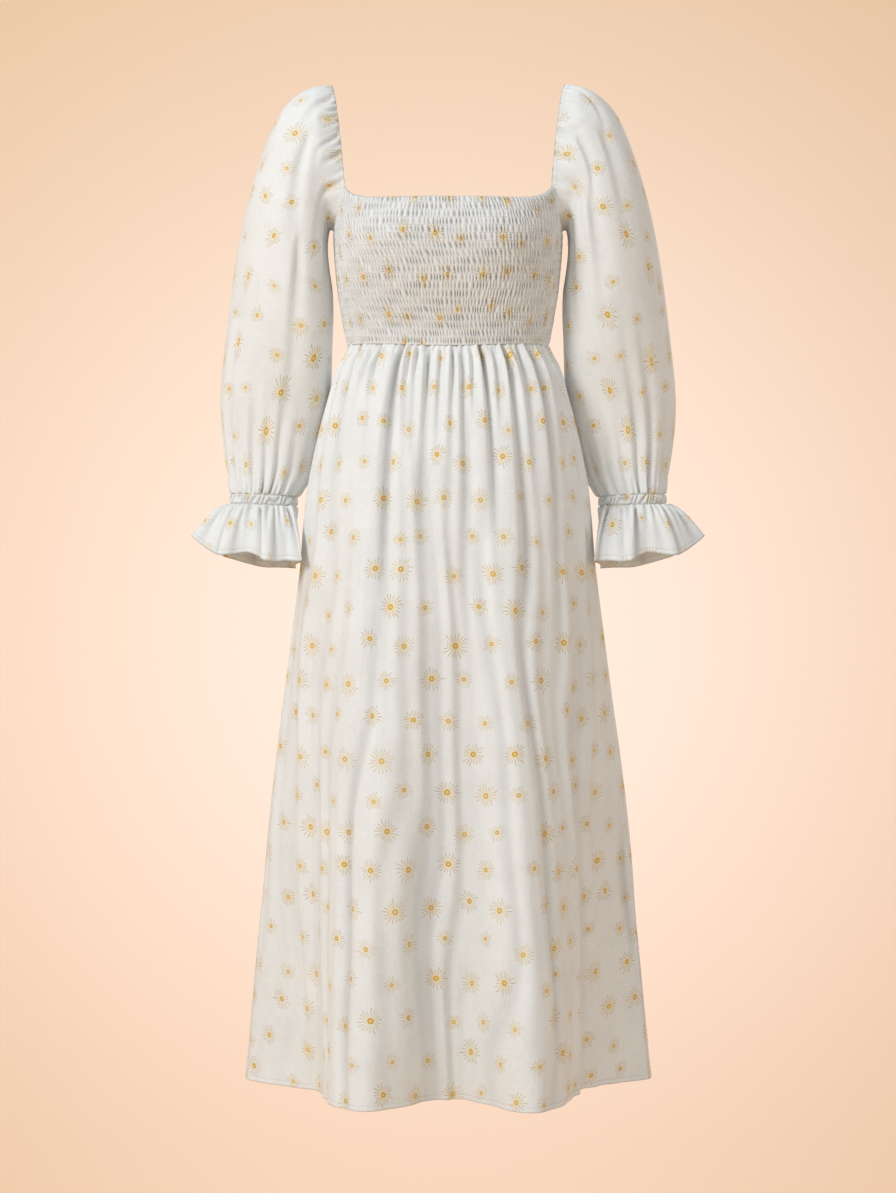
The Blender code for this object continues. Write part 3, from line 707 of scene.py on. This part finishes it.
def smocking(across, height, sizes):
    """The slits between the puckers, 0 to 1 deep: leaning, staggered, and shallow at the rows of thread."""
    rows = height / sizes.row_pitch
    row = np.floor(rows)
    between = rows - row
    swell = np.sin(math.pi * between) ** 0.6
    shift = 0.5 * row + 0.22 * np.sin(2.4 * row + 1)
    uneven = wobble(across + 0.013 * row, (0.047, 0.40, 0.3), (0.0193, 0.16, 1.9), (0.0119, 0.06, 4.0))
    lean = 0.34 + 0.30 * np.sin(9 * across + 0.7 * row)
    phase = across / sizes.pucker_pitch + shift + uneven + lean * (between - 0.5)
    slit = 1 - np.sqrt(0.5 + 0.5 * np.cos(2 * math.pi * phase) + 1e-4)
    each = 0.80 + 0.20 * np.sin(12.9898 * np.floor(phase) + 4.1 * row)
    return np.clip((0.12 + 0.88 * swell) * slit * each, 0, 1)


def painted_edge_shade(distance):
    """Painted shade along a turned edge: a dark line, 1 at the edge."""
    return 0.55 * ramp(distance, 0.0016, 0.0002)


def hem_thread(distance, sizes):
    """The thread count of one line of stitching above a hem, whose edge is at no distance."""
    return np.clip(0.5 + 0.5 * distance / sizes.hem_height, 0.4, 1.6)


def make_bodice_panel(name, front):
    """A smocked panel between the waist seam, the neckline and the armholes."""
    sizes = bpy.context.scene.dress_sizes
    columns, rows = BODICE_GRID
    offset = np.linspace(-SIDE_EDGE, SIDE_EDGE, columns)
    share = np.linspace(0, 1, rows)[:, None]
    angle = np.broadcast_to((0 if front else math.pi) + offset, (rows, columns))
    bottom, top = waist_z(angle), panel_top_z(np.abs(offset), front)[None, :]
    z = bottom + share * (top - bottom)
    base = body_point(angle, z)
    across = arc_length(base[rows // 2])[None, :] + 0 * z
    inside = ramp(share, 0, 0.02) * ramp(share, 1, 0.985) * ramp(np.abs(offset), math.pi / 2, 1.50)[None, :]
    slits = smocking(across, z - bottom, sizes) * inside
    row_dip = 0.10 * np.cos(math.pi * (z - bottom) / sizes.row_pitch) ** 8
    stand = 0.12 + 0.88 * ramp(share, -0.01, 0.06) * ramp(share, 1, 0.985)
    relief = sizes.pucker_height * (stand - row_dip - 0.95 * slits)
    relief = relief * ramp(np.abs(offset), SIDE_EDGE, 1.55)[None, :]
    points = base + relief[..., None] * outward(base, False)
    # Painted shade in the slits between the puckers and along the turned edges
    painted_shade = np.maximum(np.minimum(1.15 * slits**1.2, 1), painted_edge_shade(top - z))
    flat = np.stack((across * BODICE_FULLNESS, z - WAIST_CENTRE_Z + FLAT_CORNERS[name][1]), axis=-1)
    cloth_sheet(name, points, flat, (z - bottom) / sizes.row_pitch, painted_shade, False, "shirred_cotton")


def arc_length(line):
    """The length along a row of points, counted from its middle."""
    steps = np.linalg.norm(np.diff(line, axis=0), axis=1)
    along = np.concatenate(([0], np.cumsum(steps)))
    return along - along[len(along) // 2]


def skirt_folds(offset, below, folds):
    """The long folds' troughs, and the soft crests beside them."""
    relief = np.zeros_like(below)
    for fold in folds:
        share = below / (FOLD_LENGTH * fold.length)
        centre = fold.start + (fold.end - fold.start) * np.clip(share, 0, 1.2)
        width = fold.width * (0.55 + 2.2 * np.clip(share, 0, 1))
        away = np.radians(offset - centre) * (0.12 + 0.10 * np.clip(below, 0, 0.4) / 0.4) / width
        away = np.where(away < 0, 1.5 * away, 0.8 * away)
        size = FOLD_DEPTH * fold.depth * ramp(below, -0.003, 0.012) * (1 - smoothstep(share)) ** 0.8
        relief += size * (0.45 * np.exp(-((away / 2.3) ** 2)) - np.exp(-(away**2)))
    return relief


def make_skirt_panel(name, front, folds, seed):
    """A panel gathered into the waist seam, with long folds, small gathers and a rolled hem."""
    sizes = bpy.context.scene.dress_sizes
    columns, rows = SKIRT_GRID
    centre = 0 if front else math.pi
    offset = np.linspace(-SIDE_EDGE, SIDE_EDGE, columns)
    rest = np.linspace(0, 1, rows - len(HEM_ROWS) + 1)[1:] ** 0.8
    share = np.append(HEM_ROWS, HEM_ROWS[-1] + rest * (1 - HEM_ROWS[-1]))[:, None]
    angle = np.broadcast_to(centre + offset, (rows, columns))
    top = waist_z(angle) + SKIRT_TUCK
    z = HEM_Z + share * (top - HEM_Z)
    below = waist_z(angle) - z
    base = body_point(angle, z)
    relief = skirt_folds(np.degrees(offset)[None, :] + 0 * z, below, folds)
    seam = arc_length(base[-1])[None, :]
    small = wobble(seam, (0.0101, 0.5, seed), (0.0067, 0.35, 2 * seed), (0.0153, 0.35, 3 * seed))
    relief = relief + SKIRT_RIPPLE * small * ramp(below, 0.085, 0.004)
    leaning = seam + 0.12 * below * np.sin(31 * offset)
    pinch = wobble(leaning, (0.0127, 0.6, 4 * seed), (0.0091, 0.5, seed), (0.031, 0.4, 1.0))
    relief = relief - WAIST_PINCH * np.maximum(pinch, 0) ** 1.4 * ramp(below, 0.036, 0.004)
    drift = wobble(z + 0.3 * offset[None, :], (0.61, 0.05, seed), (0.273, 0.02, 1.0))
    bands = wobble(offset[None, :] + drift, (0.43, 0.5, seed), (0.247, 0.6, 1.7), (0.139, 0.35, 2 * seed))
    relief = relief + SKIRT_SWELL * bands * ramp(below, 0.02, 0.35) * ramp(z, HEM_Z - 0.5, HEM_Z + 0.25)
    relief = relief * ramp(below, -0.003, 0.002) - SKIRT_TOP_DIP * ramp(below, 0.0012, -0.001)
    relief = relief + HEM_ROLL * ramp(z - HEM_Z, sizes.hem_height, sizes.hem_height - 0.0012)
    relief = relief * ramp(np.abs(offset), math.pi / 2, 1.53)[None, :]
    points = base + relief[..., None] * outward(base, False)
    # Painted shade in the fold troughs, in the troughs of the hem's broad waves, and along the rolled hem
    trough = ramp(HEM_REACH((np.degrees(angle) + 90) % 360 - 90), 0.185, 0.125) * ramp(z, -0.42, -0.85)
    painted_shade = np.maximum(0.72 * ramp(relief, -0.0003, -0.009) + 0.12 * trough, painted_edge_shade(z - HEM_Z))
    width = np.stack([arc_length(row) for row in base])
    fullness = 1 + (WAIST_FULLNESS - 1) * ramp(below, 0.35, 0.0)
    flat = np.stack((width * fullness, z - HEM_Z + FLAT_CORNERS[name][1]), axis=-1)
    cloth_sheet(name, points, flat, hem_thread(z - HEM_Z, sizes), painted_shade, False, "printed_cotton")


def arm_section(place):
    return Arm(*(curve(place) for curve in ARM_CURVES))


def arm_point(place, turn):
    """The smooth sleeve form on the +X side."""
    row = arm_section(place)
    around = 2 * math.pi * turn
    x = (row.outer_x + row.inner_x) / 2 + np.cos(around) * (row.outer_x - row.inner_x) / 2
    z = (row.outer_z + row.inner_z) / 2 + np.cos(around) * (row.outer_z - row.inner_z) / 2
    return np.stack((x, row.middle_y - row.half_depth * np.sin(around), z), axis=-1)


def armhole_ring(turn):
    """Where the sleeve meets the bodice, or runs free over the shoulder."""
    front = turn <= 0.5
    corner = np.where(front, FRONT_CORNER, BACK_CORNER)
    corner_z = np.where(front, FRONT_CORNER_Z, BACK_CORNER_Z)
    sign = np.where(front, -1.0, 1.0)
    from_top = np.where(front, turn, 1 - turn)

    def on_body(share):
        angle = math.pi / 2 + sign * (math.pi / 2 - corner) * np.sin(share * math.pi / 2)
        z = UNDERARM_Z + (corner_z - UNDERARM_Z) * (1 - np.cos(share * math.pi / 2))
        return body_point(angle, z)

    seam = on_body(np.clip((0.5 - from_top) / (0.5 - CORNER_TURN), 0, 1))
    heart = np.stack((seam[..., 0], 0 * turn, (UNDERARM_Z + corner_z) / 2 + 0.03), axis=-1)
    inward = heart - seam
    seam = seam + ARMHOLE_GAP * inward / np.linalg.norm(inward, axis=-1, keepdims=True)
    end = on_body(np.ones_like(turn))
    end[..., 1] -= ARMHOLE_GAP * sign * math.sqrt(0.5)
    end[..., 2] += ARMHOLE_GAP * math.sqrt(0.5)
    swing = np.clip(from_top / CORNER_TURN, 0, 1) * math.pi / 2
    z = end[..., 2] * (1 - np.cos(swing))
    x = SHOULDER_TOP_X + (end[..., 0] - SHOULDER_TOP_X) * np.abs(z / end[..., 2]) ** NECK_EDGE_BEND
    free = np.stack((x, end[..., 1] * np.sin(swing), z), axis=-1)
    return np.where((from_top >= CORNER_TURN)[..., None], seam, free)


def sleeve_form(place, turn):
    """The sleeve's form, blended from the armhole's ring into the table's first sections."""
    blend = smoothstep(place)[..., None]
    return armhole_ring(turn) * (1 - blend) + arm_point(place, turn) * blend


def tube_turns(columns, rows):
    """Turns round a tube for each column, from the underarm all the way round."""
    return np.broadcast_to((0.5 + np.arange(columns) / columns) % 1, (rows, columns))


def make_sleeve(name, to_right, folds):
    """A full sleeve with its long folds, its gathered neck edge and the gathers above the cuff."""
    sizes = bpy.context.scene.dress_sizes
    columns, rows = SLEEVE_GRID
    turn = tube_turns(columns, rows)
    place = np.broadcast_to((np.linspace(0, 1, rows) ** 1.2 * CUFF_TOP)[:, None], (rows, columns))
    base = sleeve_form(place, turn)
    relief = np.zeros_like(turn)
    steep = 0.75 if to_right else 1 / 0.75
    for fold in folds:
        share = (place - fold.first_row) / (fold.last_row - fold.first_row)
        centre = fold.turn + (fold.end_turn - fold.turn) * np.clip(share, 0, 1)
        away = (turn - centre + 0.5) % 1 - 0.5
        away = np.where(away > 0, steep * away, away / steep)
        from_neck = fold.first_row < NECK_FOLD_ROWS
        spread = away / (fold.width * (0.8 + 1.1 * np.clip(share if from_neck else 1 - share, 0, 1)))
        size = ramp(share, 0, 0.15) * (1 - smoothstep(share)) if from_neck else smoothstep(share)
        relief = relief + fold.depth * size * (0.4 * np.exp(-((spread / 2.2) ** 2)) - np.exp(-(spread**2)))
    free = ramp(np.minimum(turn, 1 - turn), CORNER_TURN + 0.02, CORNER_TURN - 0.03)
    small = wobble(turn, (1 / 53, 0.6, 0.4), (1 / 37, 0.5, 2.0))
    relief = relief + NECK_RIPPLE * small * ramp(place, 1.1, 0.1) * free
    narrow = wobble(turn, (1 / 47, 0.6, 1.0), (1 / 31, 0.5, 0.3))
    relief = relief + WRIST_RIPPLE * narrow * ramp(place, 13.3, 14.6)
    broad = np.sin(2 * math.pi * (3 * turn + 0.05 * place)) * np.sin(0.9 * place + 0.6)
    relief = relief + SLEEVE_SWELL * broad * ramp(place, 2, 4) * ramp(place, 13.5, 11)
    relief = relief * ramp(place, 0.0, 0.05) * ramp(place, CUFF_TOP + 0.05, CUFF_TOP - 0.15)
    points = base + relief[..., None] * outward(base, True)
    length = np.linalg.norm(np.diff(base, axis=0, prepend=base[:1]), axis=-1).cumsum(axis=0)
    flat = sleeve_flat(base, FLAT_CORNERS[name])
    threads = np.where(free > 0.5, hem_thread(length, sizes), 1.5)
    # Painted shade in the fold troughs and along the free neck edge
    painted_shade = np.maximum(0.45 * ramp(relief, -0.0005, -0.009), free * painted_edge_shade(length))
    tube_sheet(name, to_right, points, flat, threads, painted_shade, "printed_cotton")


def sleeve_flat(base, corner):
    """The flat cut of a sleeve: a net of springs, each as long as on the form, laid flat."""
    base = closed(base)
    rows, columns = (
        np.rint(np.linspace(0, size - 1, count)).astype(int) for size, count in zip(base.shape, SLEEVE_NET)
    )
    form = base[np.ix_(rows, columns)]
    girth = np.linalg.norm(np.diff(form, axis=1), axis=-1).sum(axis=1)
    middle = form.mean(axis=1, keepdims=True)
    form = middle + (form - middle) * (0.5 + 0.5 * girth.max() / girth)[:, None, None]
    length = np.linalg.norm(np.diff(form, axis=0, prepend=form[:1]), axis=-1).cumsum(axis=0)
    turn = np.linspace(-0.5, 0.5, len(columns)) * girth.max()
    flat = np.stack(np.broadcast_arrays(turn[None, :], length[-1:] - length), axis=-1)
    springs = (
        (np.s_[:, :-1], np.s_[:, 1:]),
        (np.s_[:-1], np.s_[1:]),
        (np.s_[:-1, :-1], np.s_[1:, 1:]),
        (np.s_[:-1, 1:], np.s_[1:, :-1]),
    )
    for _ in range(NET_STEPS):
        pull = np.zeros_like(flat)
        for first, second in springs:
            span = flat[second] - flat[first]
            rest = np.linalg.norm(form[second] - form[first], axis=-1)
            stretch = (1 - rest / np.linalg.norm(span, axis=-1))[..., None] * span
            pull[first] += stretch
            pull[second] -= stretch
        flat = flat + NET_GIVE * pull
    for picks, size in ((rows, base.shape[0]), (columns, base.shape[1])):
        lines = flat.reshape(len(picks), -1).T
        flat = np.stack([smooth_curve(picks, line)(np.arange(size)) for line in lines], axis=-1)
        flat = flat.reshape(size, -1, 2).swapaxes(0, 1)
    return flat + np.array(corner)


def tube_sheet(name, to_right, points, flat, threads, painted_shade, slot):
    """A tube's sheet. On the right it is the mirror image, its columns turned round to face out."""
    if to_right:
        points, threads, painted_shade = (
            np.concatenate((grid[:, :1], grid[:, :0:-1]), axis=1) for grid in (points, threads, painted_shade)
        )
        points, flat = points * np.array((-1, 1, 1)), flat[:, ::-1]
    cloth_sheet(name, points, flat, threads, painted_shade, True, slot)


def cuff_centre():
    row = ARM_SECTIONS[CUFF_TOP]
    return np.array(((row.outer_x + row.inner_x) / 2, row.middle_y, (row.outer_z + row.inner_z) / 2))


def cuff_ring(turn, below):
    """A ring of the elastic casing at a height below its top edge, with its outward direction."""
    point = arm_point(np.full_like(turn, CUFF_TOP), turn)
    out = (point - cuff_centre()) * np.array((1, 1, 0))
    out = out / np.linalg.norm(out, axis=-1, keepdims=True)
    point = point - np.stack((0 * turn, 0 * turn, SEAM_GAP + below), axis=-1)
    return point, out


def tube_flat(columns, rows, width, height, corner):
    """The flat cut of a plain tube: a strip, with one more column than the tube."""
    across = np.linspace(0, width, columns + 1)[None, :] + corner[0]
    along = np.linspace(0, -height, rows)[:, None] + corner[1]
    return np.stack(np.broadcast_arrays(across, along), axis=-1)


def make_cuff(name, to_right):
    """The narrow casing, shirred by the elastic in it."""
    columns, rows = CUFF_GRID
    turn = tube_turns(columns, rows)
    share = np.broadcast_to(np.linspace(0, 1, rows)[:, None], (rows, columns))
    point, out = cuff_ring(turn, share * (CUFF_HEIGHT + 2 * CUFF_TUCK) - CUFF_TUCK)
    uneven = wobble(turn, (1 / 5, 0.45, 0.4), (1 / 11, 0.4, 1.0), (1 / 3, 0.5, 2.0))
    lean = (1.1 if to_right else -1.1) * (share - 0.5)
    gather = np.sqrt(0.5 + 0.5 * np.cos(2 * math.pi * (30 * turn + uneven + lean)))
    belly = ramp(np.minimum(share, 1 - share), 0.10, 0.24)
    relief = (CUFF_PUCKER * gather - 0.0004) * belly - 0.0008 * (1 - belly)
    points = point + relief[..., None] * out
    girth = np.linalg.norm(np.diff(point[0], axis=0, append=point[0][:1]), axis=-1).sum()
    flat = tube_flat(columns, rows, girth * CUFF_FULLNESS, CUFF_HEIGHT, FLAT_CORNERS[name])
    threads = 0.9 + 1.2 * share
    # Painted shade between the casing's puckers
    painted_shade = 0.6 * (1 - gather) ** 1.3 * belly
    tube_sheet(name, to_right, points, flat, threads, painted_shade, "shirred_cotton")


def ruffle_form(share, turn):
    """The ruffle's bell: out of the cuff first and then down to its waving edge."""
    start, _ = cuff_ring(turn, np.full_like(turn, CUFF_HEIGHT + SEAM_GAP))
    _, out_x, out_y, z = (curve(turn) for curve in RUFFLE_CURVES)
    centre = cuff_centre()
    end = np.stack((centre[0] + out_x, centre[1] + out_y, z), axis=-1)
    out, down = share**RUFFLE_BELL, share ** (1 / RUFFLE_BELL)
    grow = np.stack((out, out, down), axis=-1)
    return start + (end - start) * grow


def make_ruffle(name, to_right):
    """The flounce below the cuff: gathered at its head, with a waving rolled hem."""
    sizes = bpy.context.scene.dress_sizes
    columns, rows = RUFFLE_GRID
    turn = tube_turns(columns, rows)
    share = np.broadcast_to(np.linspace(0, 1, rows)[:, None], (rows, columns))
    base = ruffle_form(share, turn)
    gathers = wobble(turn, (1 / 23, 0.6, 0.7), (1 / 37, 0.45, 2.2), (1 / 13, 0.5, 0.2))
    relief = RUFFLE_RIPPLE * gathers * ramp(share, 0.0, 0.06) * ramp(share, 0.75, 0.08)
    for centre, depth, width in RUFFLE_FOLDS:
        away = ((turn - centre + 0.5) % 1 - 0.5) / (width * (0.5 + share))
        relief = relief - depth * np.exp(-(away**2)) * ramp(share, 0.0, 0.12) * (1 - 0.5 * share)
    points = base + relief[..., None] * outward(base, True)
    edge = np.linalg.norm(np.diff(base[-1], axis=0, append=base[-1][:1]), axis=-1).sum()
    slope = np.linalg.norm(np.diff(base, axis=0), axis=-1).sum(axis=0).mean()
    flat = tube_flat(columns, rows, edge * RUFFLE_FULLNESS, slope, FLAT_CORNERS[name])
    threads = hem_thread((1 - share) * slope, sizes)
    # Painted shade in the fold troughs and along the rolled hem
    painted_shade = np.maximum(0.5 * ramp(relief, 0.0002, -0.006), painted_edge_shade((1 - share) * slope))
    tube_sheet(name, to_right, points, flat, threads, painted_shade, "printed_cotton")


def a_length(name, description, default):
    return FloatProperty(name=name, description=description, default=default, unit="LENGTH")


def a_colour(name, description, red, green, blue):
    default = (red, green, blue, 1)
    return FloatVectorProperty(name=name, description=description, subtype="COLOR", size=4, default=default)


class DressSizes(PropertyGroup):
    """Sizes that change how the cloth looks."""

    cloth_thickness: a_length("Cloth thickness", "Thickness of every cloth panel", 0.0006)
    row_pitch: a_length(
        "Shirring row pitch", "Height from one row of elastic thread to the next",
        (FRONT_NECK_Z - WAIST_CENTRE_Z) / ELASTIC_ROWS,
    )
    pucker_pitch: a_length("Pucker pitch", "Width of one pucker of the smocking", 0.0047)
    pucker_height: a_length("Pucker height", "How far a pucker stands out", 0.0030)
    hem_height: a_length("Hem height", "Height of the rolled hem", 0.006)
    thread_pitch: a_length("Thread pitch", "Distance from one woven thread to the next", 0.0006)
    weave_depth: a_length("Weave depth", "Height of the weave's relief", 0.0004)
    daisy_spacing: a_length("Daisy spacing", "Distance from one printed daisy to the next", 0.050)
    daisy_radius: a_length("Daisy radius", "Radius of the largest printed daisy", 0.0172)
    stroke_width: a_length("Stroke width", "Width of a petal's brush stroke", 0.0010)
    daisy_petals: IntProperty(name="Daisy petals", description="Petal strokes of one daisy", default=18)


class DressColours(PropertyGroup):
    """Colours of the cloth and its print, and the tint of its painted shade."""

    cotton: a_colour("Cotton", "The white cotton", 0.87, 0.885, 0.88)
    cotton_light: a_colour("Light cotton", "Where the weave is open and bright", 0.92, 0.935, 0.93)
    cotton_shade: a_colour("Thread shade", "Between the threads", 0.80, 0.805, 0.79)
    petal: a_colour("Petal gold", "Light petal strokes", 0.80, 0.55, 0.12)
    petal_dark: a_colour("Dark petal gold", "Dark petal strokes", 0.48, 0.33, 0.11)
    centre: a_colour("Centre", "Ring of a daisy's centre", 0.70, 0.40, 0.045)
    spot: a_colour("Centre glow", "Light spot of a daisy's centre and the glow round it", 0.95, 0.73, 0.25)
    thread: a_colour("Thread", "Sewing thread", 0.74, 0.68, 0.56)
    # Painted shade: the tint that darkens the cloth in its folds and along its turned edges
    shade_paint: a_colour("Painted shade tint", "Tint of the cloth deep in a fold", 0.43, 0.42, 0.43)
    backdrop: a_colour("Backdrop", "Pale floor and backdrop", 0.99, 0.67, 0.345)


class DRESS_OT_bodice(Operator):
    """Make the two smocked bodice panels"""

    bl_idname = "dress.bodice"
    bl_label = "Smocked bodice"

    def execute(self, context):
        make_bodice_panel("bodice_front", True)
        make_bodice_panel("bodice_back", False)
        return {"FINISHED"}


class DRESS_OT_skirt(Operator):
    """Make the two gathered skirt panels"""

    bl_idname = "dress.skirt"
    bl_label = "Gathered skirt"

    def execute(self, context):
        make_skirt_panel("skirt_front", True, FRONT_FOLDS, 0.7)
        make_skirt_panel("skirt_back", False, BACK_FOLDS, 2.1)
        return {"FINISHED"}


class DRESS_OT_sleeves(Operator):
    """Make the two full sleeves"""

    bl_idname = "dress.sleeves"
    bl_label = "Full sleeves"

    def execute(self, context):
        make_sleeve("sleeve_left", False, LEFT_SLEEVE_FOLDS)
        make_sleeve("sleeve_right", True, RIGHT_SLEEVE_FOLDS)
        return {"FINISHED"}


class DRESS_OT_cuffs(Operator):
    """Make the elastic casings and the ruffles below them"""

    bl_idname = "dress.cuffs"
    bl_label = "Cuffs and ruffles"

    def execute(self, context):
        for side, to_right in (("left", False), ("right", True)):
            make_cuff(f"cuff_{side}", to_right)
            make_ruffle(f"ruffle_{side}", to_right)
        return {"FINISHED"}


class DRESS_OT_stage(Operator):
    """Make the pale floor and backdrop, the soft lights and the camera"""

    bl_idname = "dress.stage"
    bl_label = "Studio stage"

    def execute(self, context):
        make_backdrop(context)
        make_lights(context)
        make_camera(context)
        return {"FINISHED"}


def make_backdrop(context):
    """A floor that sweeps up into a backdrop, with no corner."""
    bpy.ops.object.select_all(action="DESELECT")
    bpy.ops.mesh.primitive_grid_add(x_subdivisions=2, y_subdivisions=40, size=2)
    sweep = context.object
    sweep.name = "backdrop"
    floor_z, front_y, wall_y, radius, half_width, wall_height = -3.6, -5, 3.2, 1.6, 14, 4
    bend_start, bend_end = 0.4, 0.6
    for vertex in sweep.data.vertices:
        along = (vertex.co.y + 1) / 2
        turn = min(max((along - bend_start) / (bend_end - bend_start), 0), 1) * math.pi / 2
        flat = min(along / bend_start, 1)
        up = max((along - bend_end) / (1 - bend_end), 0)
        vertex.co.x *= half_width
        vertex.co.y = front_y + flat * (wall_y - radius - front_y) + radius * math.sin(turn)
        vertex.co.z = floor_z + radius * (1 - math.cos(turn)) + up * wall_height
    bpy.ops.object.shade_smooth()
    paper = Finish("pale_paper")
    paper.set(Base_Color=tuple(context.scene.dress_colours.backdrop), Roughness=0.95)
    sweep.data.materials.append(paper.material)


def add_light(context, name, place, target, size, watts, colour):
    """A soft square light that faces a point."""
    light = bpy.data.lights.new(name, "AREA")
    light.energy = watts
    light.size = size
    light.color = colour
    holder = bpy.data.objects.new(name, light)
    context.scene.collection.objects.link(holder)
    place, target = np.array(place), np.array(target)
    holder.location = place
    holder.rotation_euler = Vector(target - place).to_track_quat("-Z", "Y").to_euler()


def make_lights(context):
    middle = (0, 0, -0.6)
    add_light(context, "key", (-2.3, -2.5, 1.2), middle, 1.2, 67, (0.96, 0.985, 1.0))
    add_light(context, "fill", (2.6, -2.6, -0.2), middle, 2.2, 8, (1.0, 0.98, 0.96))
    add_light(context, "glow", (0.0, 1.0, -0.75), (0.0, 3.2, -0.75), 1.0, 78, (0.245, 0.42, 1.0))
    add_light(context, "back", (0.9, 2.5, 0.2), (0.9, 0.0, 0.2), 1.6, 38, (0.62, 0.82, 1.0))
    context.scene.view_settings.view_transform = "Standard"
    world = bpy.data.worlds.new("soft_room")
    world.use_nodes = True
    background = world.node_tree.nodes["Background"]
    background.inputs["Color"].default_value = (0.99, 0.975, 0.96, 1)
    background.inputs["Strength"].default_value = 0.54
    context.scene.world = world


def make_camera(context):
    camera = bpy.data.cameras.new("camera")
    camera.sensor_fit = "VERTICAL"
    camera.sensor_height = 24
    camera.lens = camera.sensor_height * CAMERA_DISTANCE / PICTURE_HEIGHT
    holder = bpy.data.objects.new("camera", camera)
    holder.location = (0, -CAMERA_DISTANCE, CAMERA_Z)
    holder.rotation_euler = (math.pi / 2, 0, 0)
    context.scene.collection.objects.link(holder)
    context.scene.camera = holder


class DRESS_PT_panel(Panel):
    """Lists the pieces of the dress, in the order that they are made"""

    bl_idname = "DRESS_PT_panel"
    bl_label = "Smocked midi dress"
    bl_space_type = "VIEW_3D"
    bl_region_type = "UI"
    bl_category = "Dress"

    def draw(self, context):
        for group in (context.scene.dress_sizes, context.scene.dress_colours):
            for name in group.__annotations__:
                self.layout.prop(group, name)
        for operator in OPERATORS:
            self.layout.operator(operator.bl_idname)


OPERATORS = (DRESS_OT_bodice, DRESS_OT_skirt, DRESS_OT_sleeves, DRESS_OT_cuffs, DRESS_OT_stage)
CLASSES = (DressSizes, DressColours, *OPERATORS, DRESS_PT_panel)


def register():
    for each in CLASSES:
        bpy.utils.register_class(each)
    bpy.types.Scene.dress_sizes = PointerProperty(type=DressSizes)
    bpy.types.Scene.dress_colours = PointerProperty(type=DressColours)


def unregister():
    del bpy.types.Scene.dress_colours
    del bpy.types.Scene.dress_sizes
    for each in reversed(CLASSES):
        bpy.utils.unregister_class(each)


def main():
    register()
    bpy.ops.dress.bodice()
    bpy.ops.dress.skirt()
    bpy.ops.dress.sleeves()
    bpy.ops.dress.cuffs()
    bpy.ops.dress.stage()


if __name__ == "__main__":
    main()
